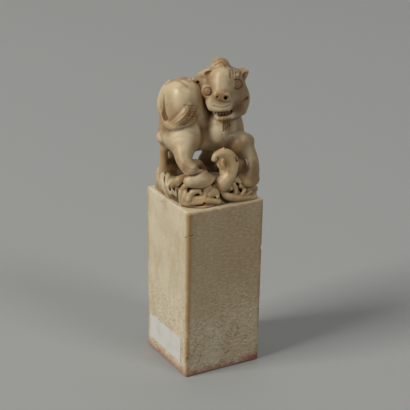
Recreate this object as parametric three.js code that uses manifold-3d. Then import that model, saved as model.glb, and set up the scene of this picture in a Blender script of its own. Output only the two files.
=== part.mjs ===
// Seal stamp: a square bar of soapstone with a horned beast carved on a base of
// waves at its top, a fretted printing face at its foot and a bare paper label.
// Millimetres. The printing face lies at z = 0, +Z points up and -Y is the front.
import * as THREE from "three";
import { mergeVertices } from "three/addons/utils/BufferGeometryUtils.js";
import { triTable } from "three/addons/objects/MarchingCubes.js";
import Module from "manifold-3d";

// Driving sizes.
const BLOCK_WIDTH = 25.5; // along X
const BLOCK_DEPTH_TOP = 26; // along Y at the top of the bar
const BLOCK_DEPTH_FOOT = 25; // along Y at the printing face
const BLOCK_HEIGHT = 53.5;
const EDGE_ROUND = 0.7; // worn round of the bar's upright edges
const ENGRAVING_DEPTH = 0.8;
const FACE_BORDER = 1.5; // width of the raised frame round the printing face
const FRET_LINE = 1.3; // width of a raised fret line, and of the groove beside it
const LABEL_WIDTH = 20;
const LABEL_HEIGHT = 8;
const LABEL_THICKNESS = 0.15;
const LABEL_Y = 0.8; // centre of the label on the left face
const LABEL_Z = 7.7;
const CARVING_REACH = BLOCK_WIDTH / 2 + 0.15; // how far the beast goes to either side
const CARVING_HEIGHT = 41.4; // of the knob, above the bar
const HOOF_CLEARANCE = 0.35; // free space of the waves round a hoof
const LEG_CLEARANCE = 0.45; // free space of the waves round the rest of the beast
const FINE_STEP = 0.8; // grid steps of the carved surfaces
const BROAD_STEP = 1.02;

const STONE = new THREE.MeshStandardMaterial({ color: 0xbfae8a, roughness: 0.45 });
const PAPER = new THREE.MeshStandardMaterial({ color: 0xe9e7df, roughness: 0.9 });

const wasm = await Module();
wasm.setup();

// Distance functions. A form is a function of x, y, z that is negative inside.
// All points of the knob are given from the centre of the bar's top, as drawn for a bar
// of 25.5 by 26 mm and a knob 41.4 mm high. They follow the bar and the knob from there.
const FOLLOW = [BLOCK_WIDTH / 25.5, BLOCK_DEPTH_TOP / 26, CARVING_HEIGHT / 41.4];
const clamp = (v) => Math.min(1, Math.max(0, v));

// A rod from a to b whose radius runs from ra to rb.
function rod(a, b, ra, rb = ra) {
  const d = [b[0] - a[0], b[1] - a[1], b[2] - a[2]];
  const length2 = d[0] ** 2 + d[1] ** 2 + d[2] ** 2;
  return (x, y, z) => {
    const [px, py, pz] = [x - a[0], y - a[1], z - a[2]];
    const t = clamp((px * d[0] + py * d[1] + pz * d[2]) / length2);
    const off = Math.hypot(px - t * d[0], py - t * d[1], pz - t * d[2]);
    return off - ra - (rb - ra) * t;
  };
}

// An ellipsoid with radii r, turned about Z by turn degrees.
function egg(c, r, turn = 0) {
  const [cos, sin] = [Math.cos((turn * Math.PI) / 180), Math.sin((turn * Math.PI) / 180)];
  return (x, y, z) => {
    const [px, py, pz] = [x - c[0], y - c[1], z - c[2]];
    const [qx, qy] = [cos * px + sin * py, cos * py - sin * px];
    const k0 = Math.hypot(qx / r[0], qy / r[1], pz / r[2]);
    const k1 = Math.hypot(qx / r[0] ** 2, qy / r[1] ** 2, pz / r[2] ** 2);
    return k1 < 1e-9 ? -Math.min(...r) : (k0 * (k0 - 1)) / k1;
  };
}

const ball = (c, r) => egg(c, [r, r, r]);

// A rod through several points, each [x, y, z, radius].
function limb(...points) {
  const rods = points.slice(1).map((b, i) => rod(points[i], b, points[i][3], b[3]));
  return (x, y, z) => Math.min(...rods.map((r) => r(x, y, z)));
}

// The half space that a normal points into from a point, inside a box.
function beyond(point, normal, low, high) {
  const long = Math.hypot(...normal);
  return (...at) => {
    const face = at.reduce((sum, v, n) => sum - ((v - point[n]) * normal[n]) / long, 0);
    return Math.max(face, ...at.map((v, n) => Math.max(low[n] - v, v - high[n])));
  };
}

// A carving starts empty; stone is added and cut with a blend radius.
function carving() {
  const steps = [];
  const soft = (a, b, k) => {
    const h = Math.max(k - Math.abs(a - b), 0) / k;
    return Math.min(a, b) - (h * h * k) / 4;
  };
  return {
    add: (form, blend = 0.8) => steps.push([1, form, blend]),
    cut: (form, blend = 0.4) => steps.push([-1, form, blend]),
    at: (...place) => {
      const drawn = place.map((v, n) => v / FOLLOW[n]);
      let d = 99;
      for (const [sign, form, k] of steps) {
        d = sign > 0 ? soft(d, form(...drawn), k) : -soft(-d, form(...drawn), k);
      }
      return d * Math.min(...FOLLOW);
    },
  };
}

// Grid lines from a start, each band being [where it ends, its step].
function lines(start, ...bands) {
  const result = [start];
  for (const [end, step] of bands) {
    while (result.at(-1) < end) result.push(result.at(-1) + step);
  }
  return result;
}

// The closed skin of a form, sampled where the grid lines of X, Y and Z cross. The rim
// of the grid counts as outside.
const CORNERS = [
  [0, 0, 0],
  [1, 0, 0],
  [1, 1, 0],
  [0, 1, 0],
  [0, 0, 1],
  [1, 0, 1],
  [1, 1, 1],
  [0, 1, 1],
];
const EDGES = [
  [0, 1],
  [1, 2],
  [3, 2],
  [0, 3],
  [4, 5],
  [5, 6],
  [7, 6],
  [4, 7],
  [0, 4],
  [1, 5],
  [2, 6],
  [3, 7],
];
function skin(form, grid) {
  const count = grid.map((line) => line.length);
  const index = (i, j, k) => (k * count[1] + j) * count[0] + i;
  const field = new Float32Array(count[0] * count[1] * count[2]);
  for (let k = 0; k < count[2]; k++) {
    for (let j = 0; j < count[1]; j++) {
      for (let i = 0; i < count[0]; i++) {
        const rim = [i, j, k].some((v, n) => v === 0 || v === count[n] - 1);
        field[index(i, j, k)] = rim ? 1 : form(grid[0][i], grid[1][j], grid[2][k]);
      }
    }
  }
  const positions = [];
  const faces = [];
  const made = new Map();
  // The vertex on one grid edge, kept a little off the edge's ends.
  const vertex = (i, j, k, edge) => {
    const [from, to] = EDGES[edge].map((c) => CORNERS[c].map((o, n) => o + [i, j, k][n]));
    const key = index(...from) * 12 + [0, 1, 2].find((n) => from[n] !== to[n]);
    if (!made.has(key)) {
      const [a, b] = [field[index(...from)], field[index(...to)]];
      const t = Math.min(0.94, Math.max(0.06, a / (a - b)));
      made.set(key, positions.length / 3);
      positions.push(...from.map((v, n) => grid[n][v] + t * (grid[n][to[n]] - grid[n][v])));
    }
    return made.get(key);
  };
  for (let k = 0; k < count[2] - 1; k++) {
    for (let j = 0; j < count[1] - 1; j++) {
      for (let i = 0; i < count[0] - 1; i++) {
        let code = 0;
        CORNERS.forEach(([a, b, c], n) => {
          if (field[index(i + a, j + b, k + c)] < 0) code |= 1 << n;
        });
        for (let n = code * 16; triTable[n] >= 0; n += 3) {
          const [a, b, c] = [0, 1, 2].map((m) => vertex(i, j, k, triTable[n + m]));
          faces.push(a, c, b);
        }
      }
    }
  }
  const geometry = new THREE.BufferGeometry();
  geometry.setAttribute("position", new THREE.Float32BufferAttribute(positions, 3));
  geometry.setIndex(faces);
  return geometry;
}

// Between a three.js geometry and a solid that can be joined and cut.
function solid(geometry, matrix = new THREE.Matrix4()) {
  const plain = geometry.index ? geometry.toNonIndexed() : geometry.clone();
  const bare = new THREE.BufferGeometry();
  bare.setAttribute("position", plain.getAttribute("position"));
  const merged = mergeVertices(bare.applyMatrix4(matrix), 1e-4);
  return new wasm.Manifold(
    new wasm.Mesh({
      numProp: 3,
      vertProperties: merged.attributes.position.array,
      triVerts: new Uint32Array(merged.index.array),
    }),
  );
}

function mesh(name, made, material, height = 0) {
  const { vertProperties, triVerts } = made.getMesh();
  const geometry = new THREE.BufferGeometry();
  geometry.setAttribute("position", new THREE.BufferAttribute(vertProperties, 3));
  geometry.setIndex(new THREE.BufferAttribute(triVerts, 1));
  geometry.computeVertexNormals();
  const result = new THREE.Mesh(geometry, material);
  result.name = name;
  result.position.z = height;
  return result;
}

// The main body of a solid, without the chips that a drilled eye leaves loose.
const mainBody = (made) => made.decompose().reduce((a, b) => (a.volume() > b.volume() ? a : b));

const move = (x, y, z) => new THREE.Matrix4().makeTranslation(x, y, z);

// The bar: an upright with worn edges, a little narrower in Y at its foot.
function bar() {
  const [w, d, r] = [BLOCK_WIDTH / 2, BLOCK_DEPTH_TOP / 2, EDGE_ROUND];
  const outline = new THREE.Shape();
  outline.absarc(w - r, d - r, r, 0, Math.PI / 2);
  outline.absarc(r - w, d - r, r, Math.PI / 2, Math.PI);
  outline.absarc(r - w, r - d, r, Math.PI, 1.5 * Math.PI);
  outline.absarc(w - r, r - d, r, 1.5 * Math.PI, 2 * Math.PI);
  const options = { depth: BLOCK_HEIGHT, bevelEnabled: false, curveSegments: 5 };
  const geometry = new THREE.ExtrudeGeometry(outline, options);
  const at = geometry.getAttribute("position");
  for (let i = 0; i < at.count; i++) {
    const taper = 1 + (BLOCK_DEPTH_TOP / BLOCK_DEPTH_FOOT - 1) * (at.getZ(i) / BLOCK_HEIGHT);
    at.setY(i, (at.getY(i) * BLOCK_DEPTH_FOOT * taper) / BLOCK_DEPTH_TOP);
  }
  return solid(geometry);
}

// The printing face: a raised frame and four square spirals, cut as one recess.
function recess() {
  const slab = (x0, x1, y0, y1, z0, z1) => {
    const box = new THREE.BoxGeometry(x1 - x0, y1 - y0, z1 - z0);
    return solid(box, move((x0 + x1) / 2, (y0 + y1) / 2, (z0 + z1) / 2));
  };
  const half = [BLOCK_WIDTH / 2 - FACE_BORDER, BLOCK_DEPTH_FOOT / 2 - FACE_BORDER];
  let hollow = slab(-half[0], half[0], -half[1], half[1], -1, ENGRAVING_DEPTH);
  const side = 7 * FRET_LINE; // a spiral is seven lines and grooves wide
  const turns = [
    [0, 0, 7, 0],
    [7, 0, 7, 7],
    [7, 7, 2, 7],
    [2, 7, 2, 3],
    [2, 3, 5, 3],
  ];
  for (const sx of [-1, 1]) {
    for (const sy of [-1, 1]) {
      const [cx, cy] = [(sx * half[0]) / 2, (sy * half[1]) / 2];
      for (const [a, b, c, d] of turns) {
        const x = [a, c].map((v) => cx + sx * ((v - 3.5) * FRET_LINE * 0.86));
        const y = [b, d].map((v) => cy + sy * ((v - 3.5) * FRET_LINE * 0.86));
        const h = FRET_LINE / 2;
        hollow = hollow.subtract(
          slab(
            Math.min(...x) - h,
            Math.max(...x) + h,
            Math.min(...y) - h,
            Math.max(...y) + h,
            -2,
            side,
          ),
        );
      }
    }
  }
  return hollow;
}

// Where each hoof stands: centre x and y, height of its flat, radii and turn.
const HOOVES = {
  nearHind: { x: -7.0, y: -8.7, z: 7.0, length: 4.8, width: 2.9, turn: -6 },
  nearFore: { x: 9.4, y: -9.3, z: 4.6, length: 3.5, width: 2.8, turn: -12 },
  farHind: { x: -9.0, y: 6.6, z: 6.2, length: 2.6, width: 2.2, turn: 0 },
  farFore: { x: 4.8, y: 7.0, z: 6.2, length: 2.8, width: 2.4, turn: 0 },
};

// The hooves where the knob's points are drawn.
const drawnHooves = Object.values(HOOVES).map((h) => ({
  x: h.x / FOLLOW[0],
  y: h.y / FOLLOW[1],
  z: h.z / FOLLOW[2],
  length: h.length / FOLLOW[0],
  width: h.width / FOLLOW[1],
  turn: h.turn,
}));

// The beast walks towards +X, with its rump high and its head turned back.
function beast() {
  const b = carving();
  // Rump, trunk and chest.
  b.add(egg([-6.1, 3.1, 28.5], [6.1, 6.6, 7.2]));
  b.add(rod([-6.0, 3.4, 25.0], [5.0, 1.6, 18.0], 6.0, 5.0), 3);
  b.add(egg([5.6, 1.0, 18.4], [6.4, 7.2, 5.8]), 3);
  b.add(egg([3.0, -2.4, 20.0], [2.8, 3.2, 4.6]), 1.6);
  b.add(rod([-4.6, 0.6, 17.6], [1.4, 0.6, 17.4], 3.9), 1.5);
  // Neck and nape.
  b.add(rod([6.0, 0.2, 19.5], [6.6, 0.6, 29.0], 5.2, 4.6), 3);
  // Near hind leg: thigh, shank and fetlock.
  b.add(egg([-7.9, -0.2, 19.2], [4.5, 5.0, 7.0]), 1.8);
  b.add(egg([-6.2, -2.6, 19.2], [2.4, 2.6, 4.0], 20), 1.2);
  b.add(ball([-10.9, 1.0, 17.6], 2.0), 1.4);
  b.add(
    limb(
      [-8.4, -1.8, 18.0, 4.0],
      [-9.4, -3.6, 15.8, 2.9],
      [-10.3, -5.3, 14.0, 2.2],
      [-10.1, -6.8, 12.6, 2.1],
      [-9.2, -7.8, 11.2, 2.3],
    ),
    1.4,
  );
  // Far hind leg.
  b.add(egg([-7.6, 5.6, 19.0], [4.6, 5.0, 6.0]), 2.5);
  b.add(ball([-11.0, 6.0, 17.4], 2.0), 0.7);
  b.add(
    limb([-8.8, 6.2, 16.0, 2.6], [-10.0, 6.2, 13.0, 1.7], [-9.6, 6.2, 10.0, 1.7], [-9.4, 6.4, 8.0, 2.0]),
    1,
  );
  // Near foreleg: shoulder, knee and pastern.
  b.add(egg([8.8, -5.0, 16.2], [3.9, 4.4, 4.0]), 1.2);
  b.add(ball([11.2, -5.8, 17.0], 1.6), 1.0);
  b.add(ball([7.6, -5.6, 17.2], 1.8), 1.0);
  b.add(
    limb(
      [9.4, -6.2, 14.8, 2.9],
      [10.4, -7.8, 12.6, 2.4],
      [10.8, -9.0, 10.4, 2.1],
      [10.6, -9.5, 8.6, 2.2],
      [10.0, -9.5, 7.0, 2.5],
    ),
    1.0,
  );
  // Far foreleg.
  b.add(egg([6.0, 6.0, 15.4], [3.4, 3.2, 4.4]), 2);
  b.add(limb([5.6, 6.2, 13.6, 2.6], [4.2, 6.8, 10.6, 2.0], [4.6, 7.0, 8.4, 2.1]), 1.2);
  // Hooves: low wedges with a flat sole.
  for (const h of drawnHooves) {
    b.add(egg([h.x, h.y, h.z + 1.0], [h.length, h.width, 2.4], h.turn), 0.6);
    b.add(
      limb([h.x - 0.5 * h.length, h.y, h.z + 1.9, 0.6 * h.width], [h.x, h.y, h.z + 2.5, 0.6 * h.width]),
      0.7,
    );
  }
  // Flat of the shoulder.
  b.cut(beyond([9.0, -8.9, 16.0], [0.26, -1, 0.31], [4, -14, 3], [14, -3, 20]), 0.7);
  // Tail: down the rump's left, round under it, then a flame over the near haunch.
  b.add(
    limb(
      [-9.4, 5.0, 33.9, 0.8],
      [-10.9, 5.8, 31.8, 0.9],
      [-11.8, 5.9, 29.0, 1.1],
      [-12.0, 5.0, 26.4, 1.1],
      [-12.0, 3.0, 24.2, 1.1],
      [-11.9, 0.6, 22.9, 1.2],
      [-11.3, -1.4, 23.3, 1.4],
      [-10.4, -2.9, 24.9, 1.8],
      [-9.2, -3.8, 26.9, 1.7],
      [-8.2, -4.2, 28.7, 1.2],
      [-7.6, -4.2, 30.2, 0.7],
    ),
    0.5,
  );
  b.add(
    limb(
      [-10.6, -2.6, 24.2, 1.2],
      [-8.6, -4.0, 25.4, 1.3],
      [-7.0, -4.2, 27.0, 1.0],
      [-6.4, -4.0, 28.6, 0.6],
    ),
    0.5,
  );
  // Skull, cheeks and snout.
  b.add(egg([5.3, -1.3, 33.0], [6.0, 6.2, 5.8], -45), 1.5);
  b.add(egg([8.2, -2.6, 28.9], [4.4, 4.6, 5.2], -45), 1.5);
  b.add(ball([1.6, -1.8, 30.4], 3.0), 1.2);
  b.add(rod([3.4, -3.4, 36.0], [1.4, -5.6, 32.0], 3.4, 2.5), 1.4);
  b.add(limb([0.2, -4.2, 29.4, 2.4], [2.2, -5.3, 29.6, 2.6], [5.0, -5.6, 30.0, 2.3]), 1.2);
  b.add(
    limb([-0.7, -4.9, 28.2, 1.3], [1.4, -6.5, 28.1, 1.5], [4.6, -6.5, 28.3, 1.5], [7.4, -5.6, 29.0, 1.8]),
    0.6,
  );
  // Lower jaw and throat.
  b.add(
    limb([1.1, -4.6, 25.0, 1.7], [2.8, -5.8, 24.7, 2.1], [5.2, -5.4, 25.0, 2.4], [7.6, -3.8, 26.2, 2.7]),
    0.8,
  );
  b.add(egg([5.0, -2.6, 25.2], [4.6, 3.6, 3.6], -25), 1.2);
  // Horn, a short bulb on the crown.
  b.add(limb([4.6, -0.7, 37.2, 3.0], [4.2, -0.7, 38.5, 2.8], [3.9, -0.8, 39.5, 1.9]), 0.6);
  // Beard on the chest, and the throat beside it.
  b.add(limb([2.9, -5.4, 23.4, 2.0], [3.1, -5.9, 20.8, 1.4], [3.5, -6.0, 18.4, 0.8]), 0.6);
  b.add(limb([6.4, -4.4, 24.0, 2.6], [6.2, -4.6, 20.6, 2.0]), 1.4);
  b.cut(beyond([4.2, -6.3, 21.0], [0.33, -0.95, 0.08], [3.0, -13, 18.4], [14, 0, 23.8]), 0.8);
  // Ears and the lock of hair over the left brow.
  b.add(limb([-0.9, -0.6, 34.2, 1.5], [-2.4, -0.1, 35.0, 1.0], [-3.8, 0.6, 35.4, 0.8]), 0.5);
  b.add(limb([9.2, -1.8, 35.8, 1.8], [10.8, -2.0, 36.4, 1.3], [12.0, -2.2, 36.6, 0.8]), 0.6);
  b.add(
    limb([2.6, 0.6, 37.2, 1.4], [0.6, 1.3, 36.3, 1.5], [-0.9, 1.6, 35.7, 1.4], [-2.2, 1.4, 34.4, 1.4]),
    0.6,
  );
  b.add(limb([0.4, 0.6, 33.6, 2.4], [3.0, 2.4, 31.0, 3.0]), 1.0);
  // Brows, eyes and nose.
  b.add(
    limb([5.0, -5.5, 35.8, 0.5], [5.9, -5.6, 36.6, 0.6], [7.4, -5.2, 36.7, 0.6], [8.9, -4.8, 35.8, 0.5]),
    0.5,
  );
  b.add(ball([-1.0, -2.7, 32.3], 1.5), 0.4);
  b.add(ball([7.3, -4.8, 34.0], 1.9), 0.4);
  b.add(ball([-0.1, -6.6, 32.3], 1.3), 0.5);
  b.add(ball([2.3, -7.3, 31.6], 1.3), 0.5);
  // The open mouth, which climbs over the right cheek.
  b.cut(
    limb(
      [-2.2, -5.6, 26.5, 0.7],
      [-0.2, -8.0, 26.7, 0.8],
      [2.6, -8.6, 26.7, 0.8],
      [4.6, -8.2, 26.7, 0.7],
      [8.6, -7.2, 28.6, 0.6],
    ),
    0.2,
  );
  // Mane: three locks down the back of the neck.
  for (const [i, z] of [35, 31, 27].entries()) {
    b.add(limb([7.6, 4.2, z, 1.8], [9.6 - 0.3 * i, 6.0, z - 2.2, 1.3], [8.4, 7.0, z - 4.4, 0.7]), 0.6);
  }
  return b;
}

// Waves: a low rounded square of curled crests, and a tall scroll by the belly.
function waves() {
  const w = carving();
  w.add((x, y, z) => {
    const [qx, qy] = [Math.abs(x - 0.1) - 9.4, Math.abs(y) - 9.4];
    const side = Math.hypot(Math.max(qx, 0), Math.max(qy, 0)) + Math.min(Math.max(qx, qy), 0) - 2.4;
    const corner = -0.75 * x - 0.66 * y - 13.2;
    return Math.max(Math.max(side, corner) + 0.22 * z, z - 3.2);
  });
  // Mounds under the hooves.
  for (const h of drawnHooves) {
    w.add(egg([h.x, h.y * 0.9, 1.0], [h.length - 0.2, h.width - 0.1, h.z + 0.4], h.turn), 1.0);
  }
  // Water that rises behind, between and beside the legs, and the low front right.
  w.add(limb([-9.8, 8.6, 3.4, 2.2], [-4, 8.6, 5.4, 2.2], [1.6, 8.6, 4.4, 2.2], [9.4, 7.6, 3.8, 2.2]), 1);
  w.add(limb([-9.8, 3.6, 3.2, 2.0], [-5.0, 0.4, 4.0, 2.4], [2.0, 0.0, 3.6, 2.4], [8.6, -1.0, 2.8, 2.2]), 1);
  w.add(
    limb([-7.4, -3.2, 10.2, 1.8], [-5.0, -4.0, 9.0, 1.7], [-3.4, -5.0, 6.8, 1.7], [-1.0, -6.0, 5.6, 1.7]),
    1,
  );
  w.add(
    limb([-9.8, 5.6, 2.6, 2.5], [-10.2, 1.6, 3.0, 2.5], [-10.2, -2.6, 3.2, 2.5], [-9.6, -5.6, 3.0, 2.4]),
    1,
  );
  w.add(
    limb([-10.4, 5.0, 5.8, 1.8], [-10.6, 1.6, 5.6, 1.9], [-10.7, -1.6, 6.4, 1.9], [-10.2, -4.6, 7.2, 1.9]),
    1,
  );
  w.add(limb([-9.0, 8.8, 5.0, 2.0], [-6.8, 8.6, 8.6, 1.9], [-6.4, 8.2, 12.4, 1.7]), 1);
  w.add(limb([-5.0, 8.4, 5.0, 2.0], [-4.8, 8.2, 8.8, 1.7], [-5.0, 7.8, 12.2, 1.5]), 1);
  w.add(limb([9.4, -2.2, 2.6, 2.7], [9.6, -2.6, 6.6, 2.3], [9.2, -2.6, 10.4, 2.2]), 1);
  w.add(limb([1.6, -9.0, 3.4, 2.2], [5.0, -9.0, 5.0, 1.9], [7.6, -8.4, 5.6, 1.8]), 1);
  w.add(limb([1.5, -9.8, 2.0, 1.6], [6.5, -10.2, 1.5, 1.7], [10.8, -10.2, 1.5, 1.7]), 1);
  // The scroll: a band that rises, curls over to the left and ends in a curl.
  w.add(
    limb(
      [0.6, -9.2, 5.6, 2.3],
      [2.4, -9.6, 7.8, 2.2],
      [3.3, -9.8, 10.0, 2.0],
      [3.2, -9.9, 12.2, 1.9],
      [2.0, -10.0, 14.2, 1.8],
      [0.4, -10.1, 15.4, 1.5],
      [-1.2, -10.3, 15.5, 1.3],
      [-2.6, -10.4, 14.8, 1.1],
    ),
    0.5,
  );
  w.add(
    limb(
      [-1.2, -10.3, 14.6, 1.0],
      [-1.6, -10.6, 13.4, 0.9],
      [-1.2, -10.7, 12.2, 0.8],
      [0.0, -10.7, 11.4, 0.7],
    ),
    0.4,
  );
  // Crests at the front: knobs and ridges of water.
  const ridge = (...points) => w.add(limb(...points), 0.5);
  ridge([-10.9, -7.2, 8.4, 1.2], [-11.4, -5.6, 7.6, 1.3], [-11.6, -4.2, 6.4, 1.1]);
  ridge([-11.2, -6.3, 1.0, 0.9], [-11.5, -7.5, 4.4, 1.0], [-11.0, -8.6, 6.6, 0.9], [-10.2, -9.6, 6.6, 0.8]);
  ridge([-10.6, -8.8, 5.2, 1.3], [-10.4, -9.2, 3.4, 1.2]);
  ridge([-10.0, -9.9, 4.2, 1.0], [-9.2, -10.8, 5.3, 1.0], [-7.9, -11.1, 5.2, 0.8]);
  ridge([-9.4, -10.0, 2.6, 1.5], [-7.2, -10.4, 2.8, 1.6], [-5.0, -10.4, 3.8, 1.7], [-4.6, -10.2, 4.8, 1.4]);
  ridge([-5.0, -10.2, 5.2, 1.1], [-3.6, -10.9, 5.2, 1.0], [-2.8, -11.2, 4.2, 0.8]);
  ridge([-3.0, -9.2, 6.2, 1.3], [-1.4, -10.0, 6.2, 1.2], [0.4, -10.8, 6.0, 1.0], [2.0, -11.0, 4.9, 0.8]);
  ridge([-0.6, -10.0, 4.6, 1.3], [0.4, -10.4, 3.2, 1.2]);
  ridge([0.4, -9.2, 7.2, 1.2], [2.4, -9.9, 7.0, 1.1], [4.4, -10.2, 6.8, 0.9], [6.0, -10.2, 6.0, 0.8]);
  ridge([3.4, -10.2, 5.6, 1.1], [4.0, -10.5, 3.8, 1.0], [4.2, -10.6, 2.6, 0.9]);
  ridge([4.6, -8.8, 7.4, 1.1], [6.0, -9.9, 6.4, 1.0], [7.4, -10.4, 4.9, 1.0], [9.2, -10.9, 3.5, 1.0]);
  ridge([9.2, -10.9, 3.5, 1.0], [11.4, -10.8, 2.9, 1.0]);
  // Hollows that the curls leave under their tips.
  w.cut(limb([-9.6, -12.6, 4.4, 0.6], [-8.2, -12.6, 4.4, 0.7]), 0.2);
  w.cut(limb([-4.4, -12.7, 3.4, 0.6], [-3.4, -12.7, 3.0, 0.7]), 0.2);
  w.cut(limb([1.4, -12.4, 4.2, 0.6], [1.4, -10.8, 4.0, 0.5]), 0.2);
  w.cut(limb([5.5, -12.0, 5.2, 0.6], [5.3, -10.0, 5.0, 0.5]), 0.2);
  // Curled crests at the sides and back, each drilled by an eye that looks outwards.
  const curl = (c, r, [dx, dy, dz]) => {
    w.add(ball(c, r), 0.35);
    const eye = (t) => [c[0] + dx * r * t, c[1] + dy * r * t, c[2] + dz * r * t];
    w.cut(rod(eye(0.1), eye(1.6), 0.36 * r), 0.2);
  };
  curl([-10.0, 9.4, 4.6], 1.9, [-0.8, 0.6, 0.2]);
  curl([-6.0, 10.0, 3.6], 1.8, [0, 1, 0.2]);
  curl([-2.2, 9.8, 5.2], 1.9, [0, 1, 0.2]);
  curl([2.2, 10.0, 4.0], 1.9, [0, 1, 0.2]);
  curl([6.4, 9.9, 4.4], 1.7, [0.1, 1, 0.2]);
  curl([9.9, 9.3, 3.8], 1.9, [0.6, 0.8, 0.2]);
  curl([10.7, 5.4, 4.2], 1.8, [1, 0, 0.2]);
  curl([10.7, 1.6, 3.6], 1.7, [1, 0, 0.2]);
  curl([10.9, -2.2, 4.0], 1.7, [1, 0, 0.2]);
  curl([10.8, -5.8, 3.2], 1.5, [1, -0.1, 0.2]);
  return w;
}

// The grids are drawn as the points are, a little past the bar's sides and the knob's
// top, and follow the same sizes.
const follow = (grid) => grid.map((line, n) => line.map((v) => v * FOLLOW[n]));
const beastForm = beast();
const beastGrid = follow([
  lines(-14, [-4, BROAD_STEP], [14, FINE_STEP]),
  lines(-13.6, [0, FINE_STEP], [13.6, BROAD_STEP]),
  lines(2.7, [22, BROAD_STEP], [42.5, 0.95 * FINE_STEP]),
]);
// The carving stays within the bar that it was cut from.
const withinBar = (x, y, z) => Math.max(beastForm.at(x, y, z), Math.abs(x) - CARVING_REACH);
let beastSolid = solid(skin(withinBar, beastGrid));

const waveForm = waves();
// The waves keep clear of the beast, except under its hooves.
function hoofBelow(x, y) {
  const far = (h) => Math.hypot(h.x - x, h.y - y);
  return Object.values(HOOVES).reduce((a, h) => (far(h) < far(a) ? h : a));
}
const overTop = (x, y, z) => {
  const water = Math.max(waveForm.at(x, y, z), -0.8 - z, Math.abs(x) - CARVING_REACH);
  const nearSole = Math.max(0, hoofBelow(x, y).z + 2 - z);
  return water > 1 ? water : Math.max(water, LEG_CLEARANCE - beastForm.at(x, y, z) - nearSole);
};
const waveGrid = follow([
  lines(-14, [14, FINE_STEP]),
  lines(-13.6, [-6, FINE_STEP], [13.6, BROAD_STEP]),
  lines(-2.1, [19, FINE_STEP]),
]);
let waveSolid = solid(skin(overTop, waveGrid)).trimByPlane([0, 0, 1], 0);

for (const h of Object.values(HOOVES)) {
  const turned = (geometry) => geometry.rotateZ((h.turn * Math.PI) / 180);
  const below = new THREE.BoxGeometry(2 * h.length + 0.4, 2 * h.width + 0.8, 6);
  beastSolid = beastSolid.subtract(solid(turned(below), move(h.x, h.y, h.z - 3)));
  const column = new THREE.CylinderGeometry(1, 1, 3, 32);
  column.rotateX(Math.PI / 2);
  column.scale(h.length + HOOF_CLEARANCE, h.width + HOOF_CLEARANCE, 1);
  waveSolid = waveSolid.subtract(solid(turned(column), move(h.x, h.y, h.z + 1.5)));
}

const block = bar().subtract(recess());
const paper = new THREE.BoxGeometry(LABEL_THICKNESS, LABEL_WIDTH, LABEL_HEIGHT);
const paperAt = move(-BLOCK_WIDTH / 2 - LABEL_THICKNESS / 2, LABEL_Y, LABEL_Z);

const stamp = new THREE.Group();
stamp.name = "seal_stamp";
stamp.add(mesh("seal_block", block, STONE));
stamp.add(mesh("wave_base", mainBody(waveSolid), STONE, BLOCK_HEIGHT));
stamp.add(mesh("beast", mainBody(beastSolid), STONE, BLOCK_HEIGHT));
stamp.add(mesh("paper_label", solid(paper, paperAt), PAPER));

export default stamp;
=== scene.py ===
# %% [markdown]
# # A carved seal stamp
# A seal of this kind is one bar of soapstone. Its foot is the printing face, and its top is
# carved into a small beast on a base of waves. The stone is waxed, so it shines softly, the
# recesses hold brown dirt and old wax, and the foot is stained by red paste. The CAD model
# gives the places and sizes; this script gives each piece its fine carving and its finish.

import math
from collections import namedtuple

import bpy
import numpy as np
from mathutils import Matrix, Vector


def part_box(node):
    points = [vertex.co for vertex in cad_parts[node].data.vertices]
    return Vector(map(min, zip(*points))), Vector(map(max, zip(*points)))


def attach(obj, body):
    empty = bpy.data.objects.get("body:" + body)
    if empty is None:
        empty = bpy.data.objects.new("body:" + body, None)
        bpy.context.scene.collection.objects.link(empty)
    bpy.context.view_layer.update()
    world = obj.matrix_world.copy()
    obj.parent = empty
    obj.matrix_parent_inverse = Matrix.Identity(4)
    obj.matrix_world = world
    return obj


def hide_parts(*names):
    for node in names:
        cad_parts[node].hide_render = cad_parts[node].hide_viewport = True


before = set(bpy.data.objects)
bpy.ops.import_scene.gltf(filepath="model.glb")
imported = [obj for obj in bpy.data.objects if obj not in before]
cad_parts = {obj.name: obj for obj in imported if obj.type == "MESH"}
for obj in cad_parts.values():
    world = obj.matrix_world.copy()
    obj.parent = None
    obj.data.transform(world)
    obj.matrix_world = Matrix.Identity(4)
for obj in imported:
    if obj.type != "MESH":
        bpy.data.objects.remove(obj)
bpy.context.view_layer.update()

# %% [markdown]
# ## The camera
# The view was found from the bar's seven visible corners: a long lens from the front left,
# a little above. Its heading, tilt and roll are in degrees. Millimetres are used for every
# length, and MM turns them into metres.

# %% Camera
MM = 0.001
SENSOR = 36
LENS = 118.54
CAMERA_AT = (-188, -327.2, 198.99)
HEADING, TILT, ROLL = -119.9, 21.62, 0.84
across, above, rolled = (math.radians(angle) for angle in (HEADING, TILT, ROLL))
level = Vector((-math.sin(across), math.cos(across), 0))
CAMERA_BACK = Vector((math.cos(across), math.sin(across), math.tan(above))).normalized()
CAMERA_RIGHT = math.cos(rolled) * level + math.sin(rolled) * CAMERA_BACK.cross(level)
CAMERA_UP = CAMERA_BACK.cross(CAMERA_RIGHT)


def placed(name, data):
    """A new object in the scene that holds the data."""
    made = bpy.data.objects.new(name, data)
    bpy.context.scene.collection.objects.link(made)
    return made


lens = bpy.data.cameras.new("view")
lens.sensor_width = SENSOR
lens.lens = LENS
lens.clip_start = 0.01
camera = placed("view", lens)
turn = Matrix((CAMERA_RIGHT, CAMERA_UP, CAMERA_BACK)).transposed().to_4x4()
camera.matrix_world = Matrix.Translation(Vector(CAMERA_AT) * MM) @ turn
bpy.context.scene.camera = camera
print("lens", LENS, "mm, distance", round(Vector(CAMERA_AT).length, 1), "mm")

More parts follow.
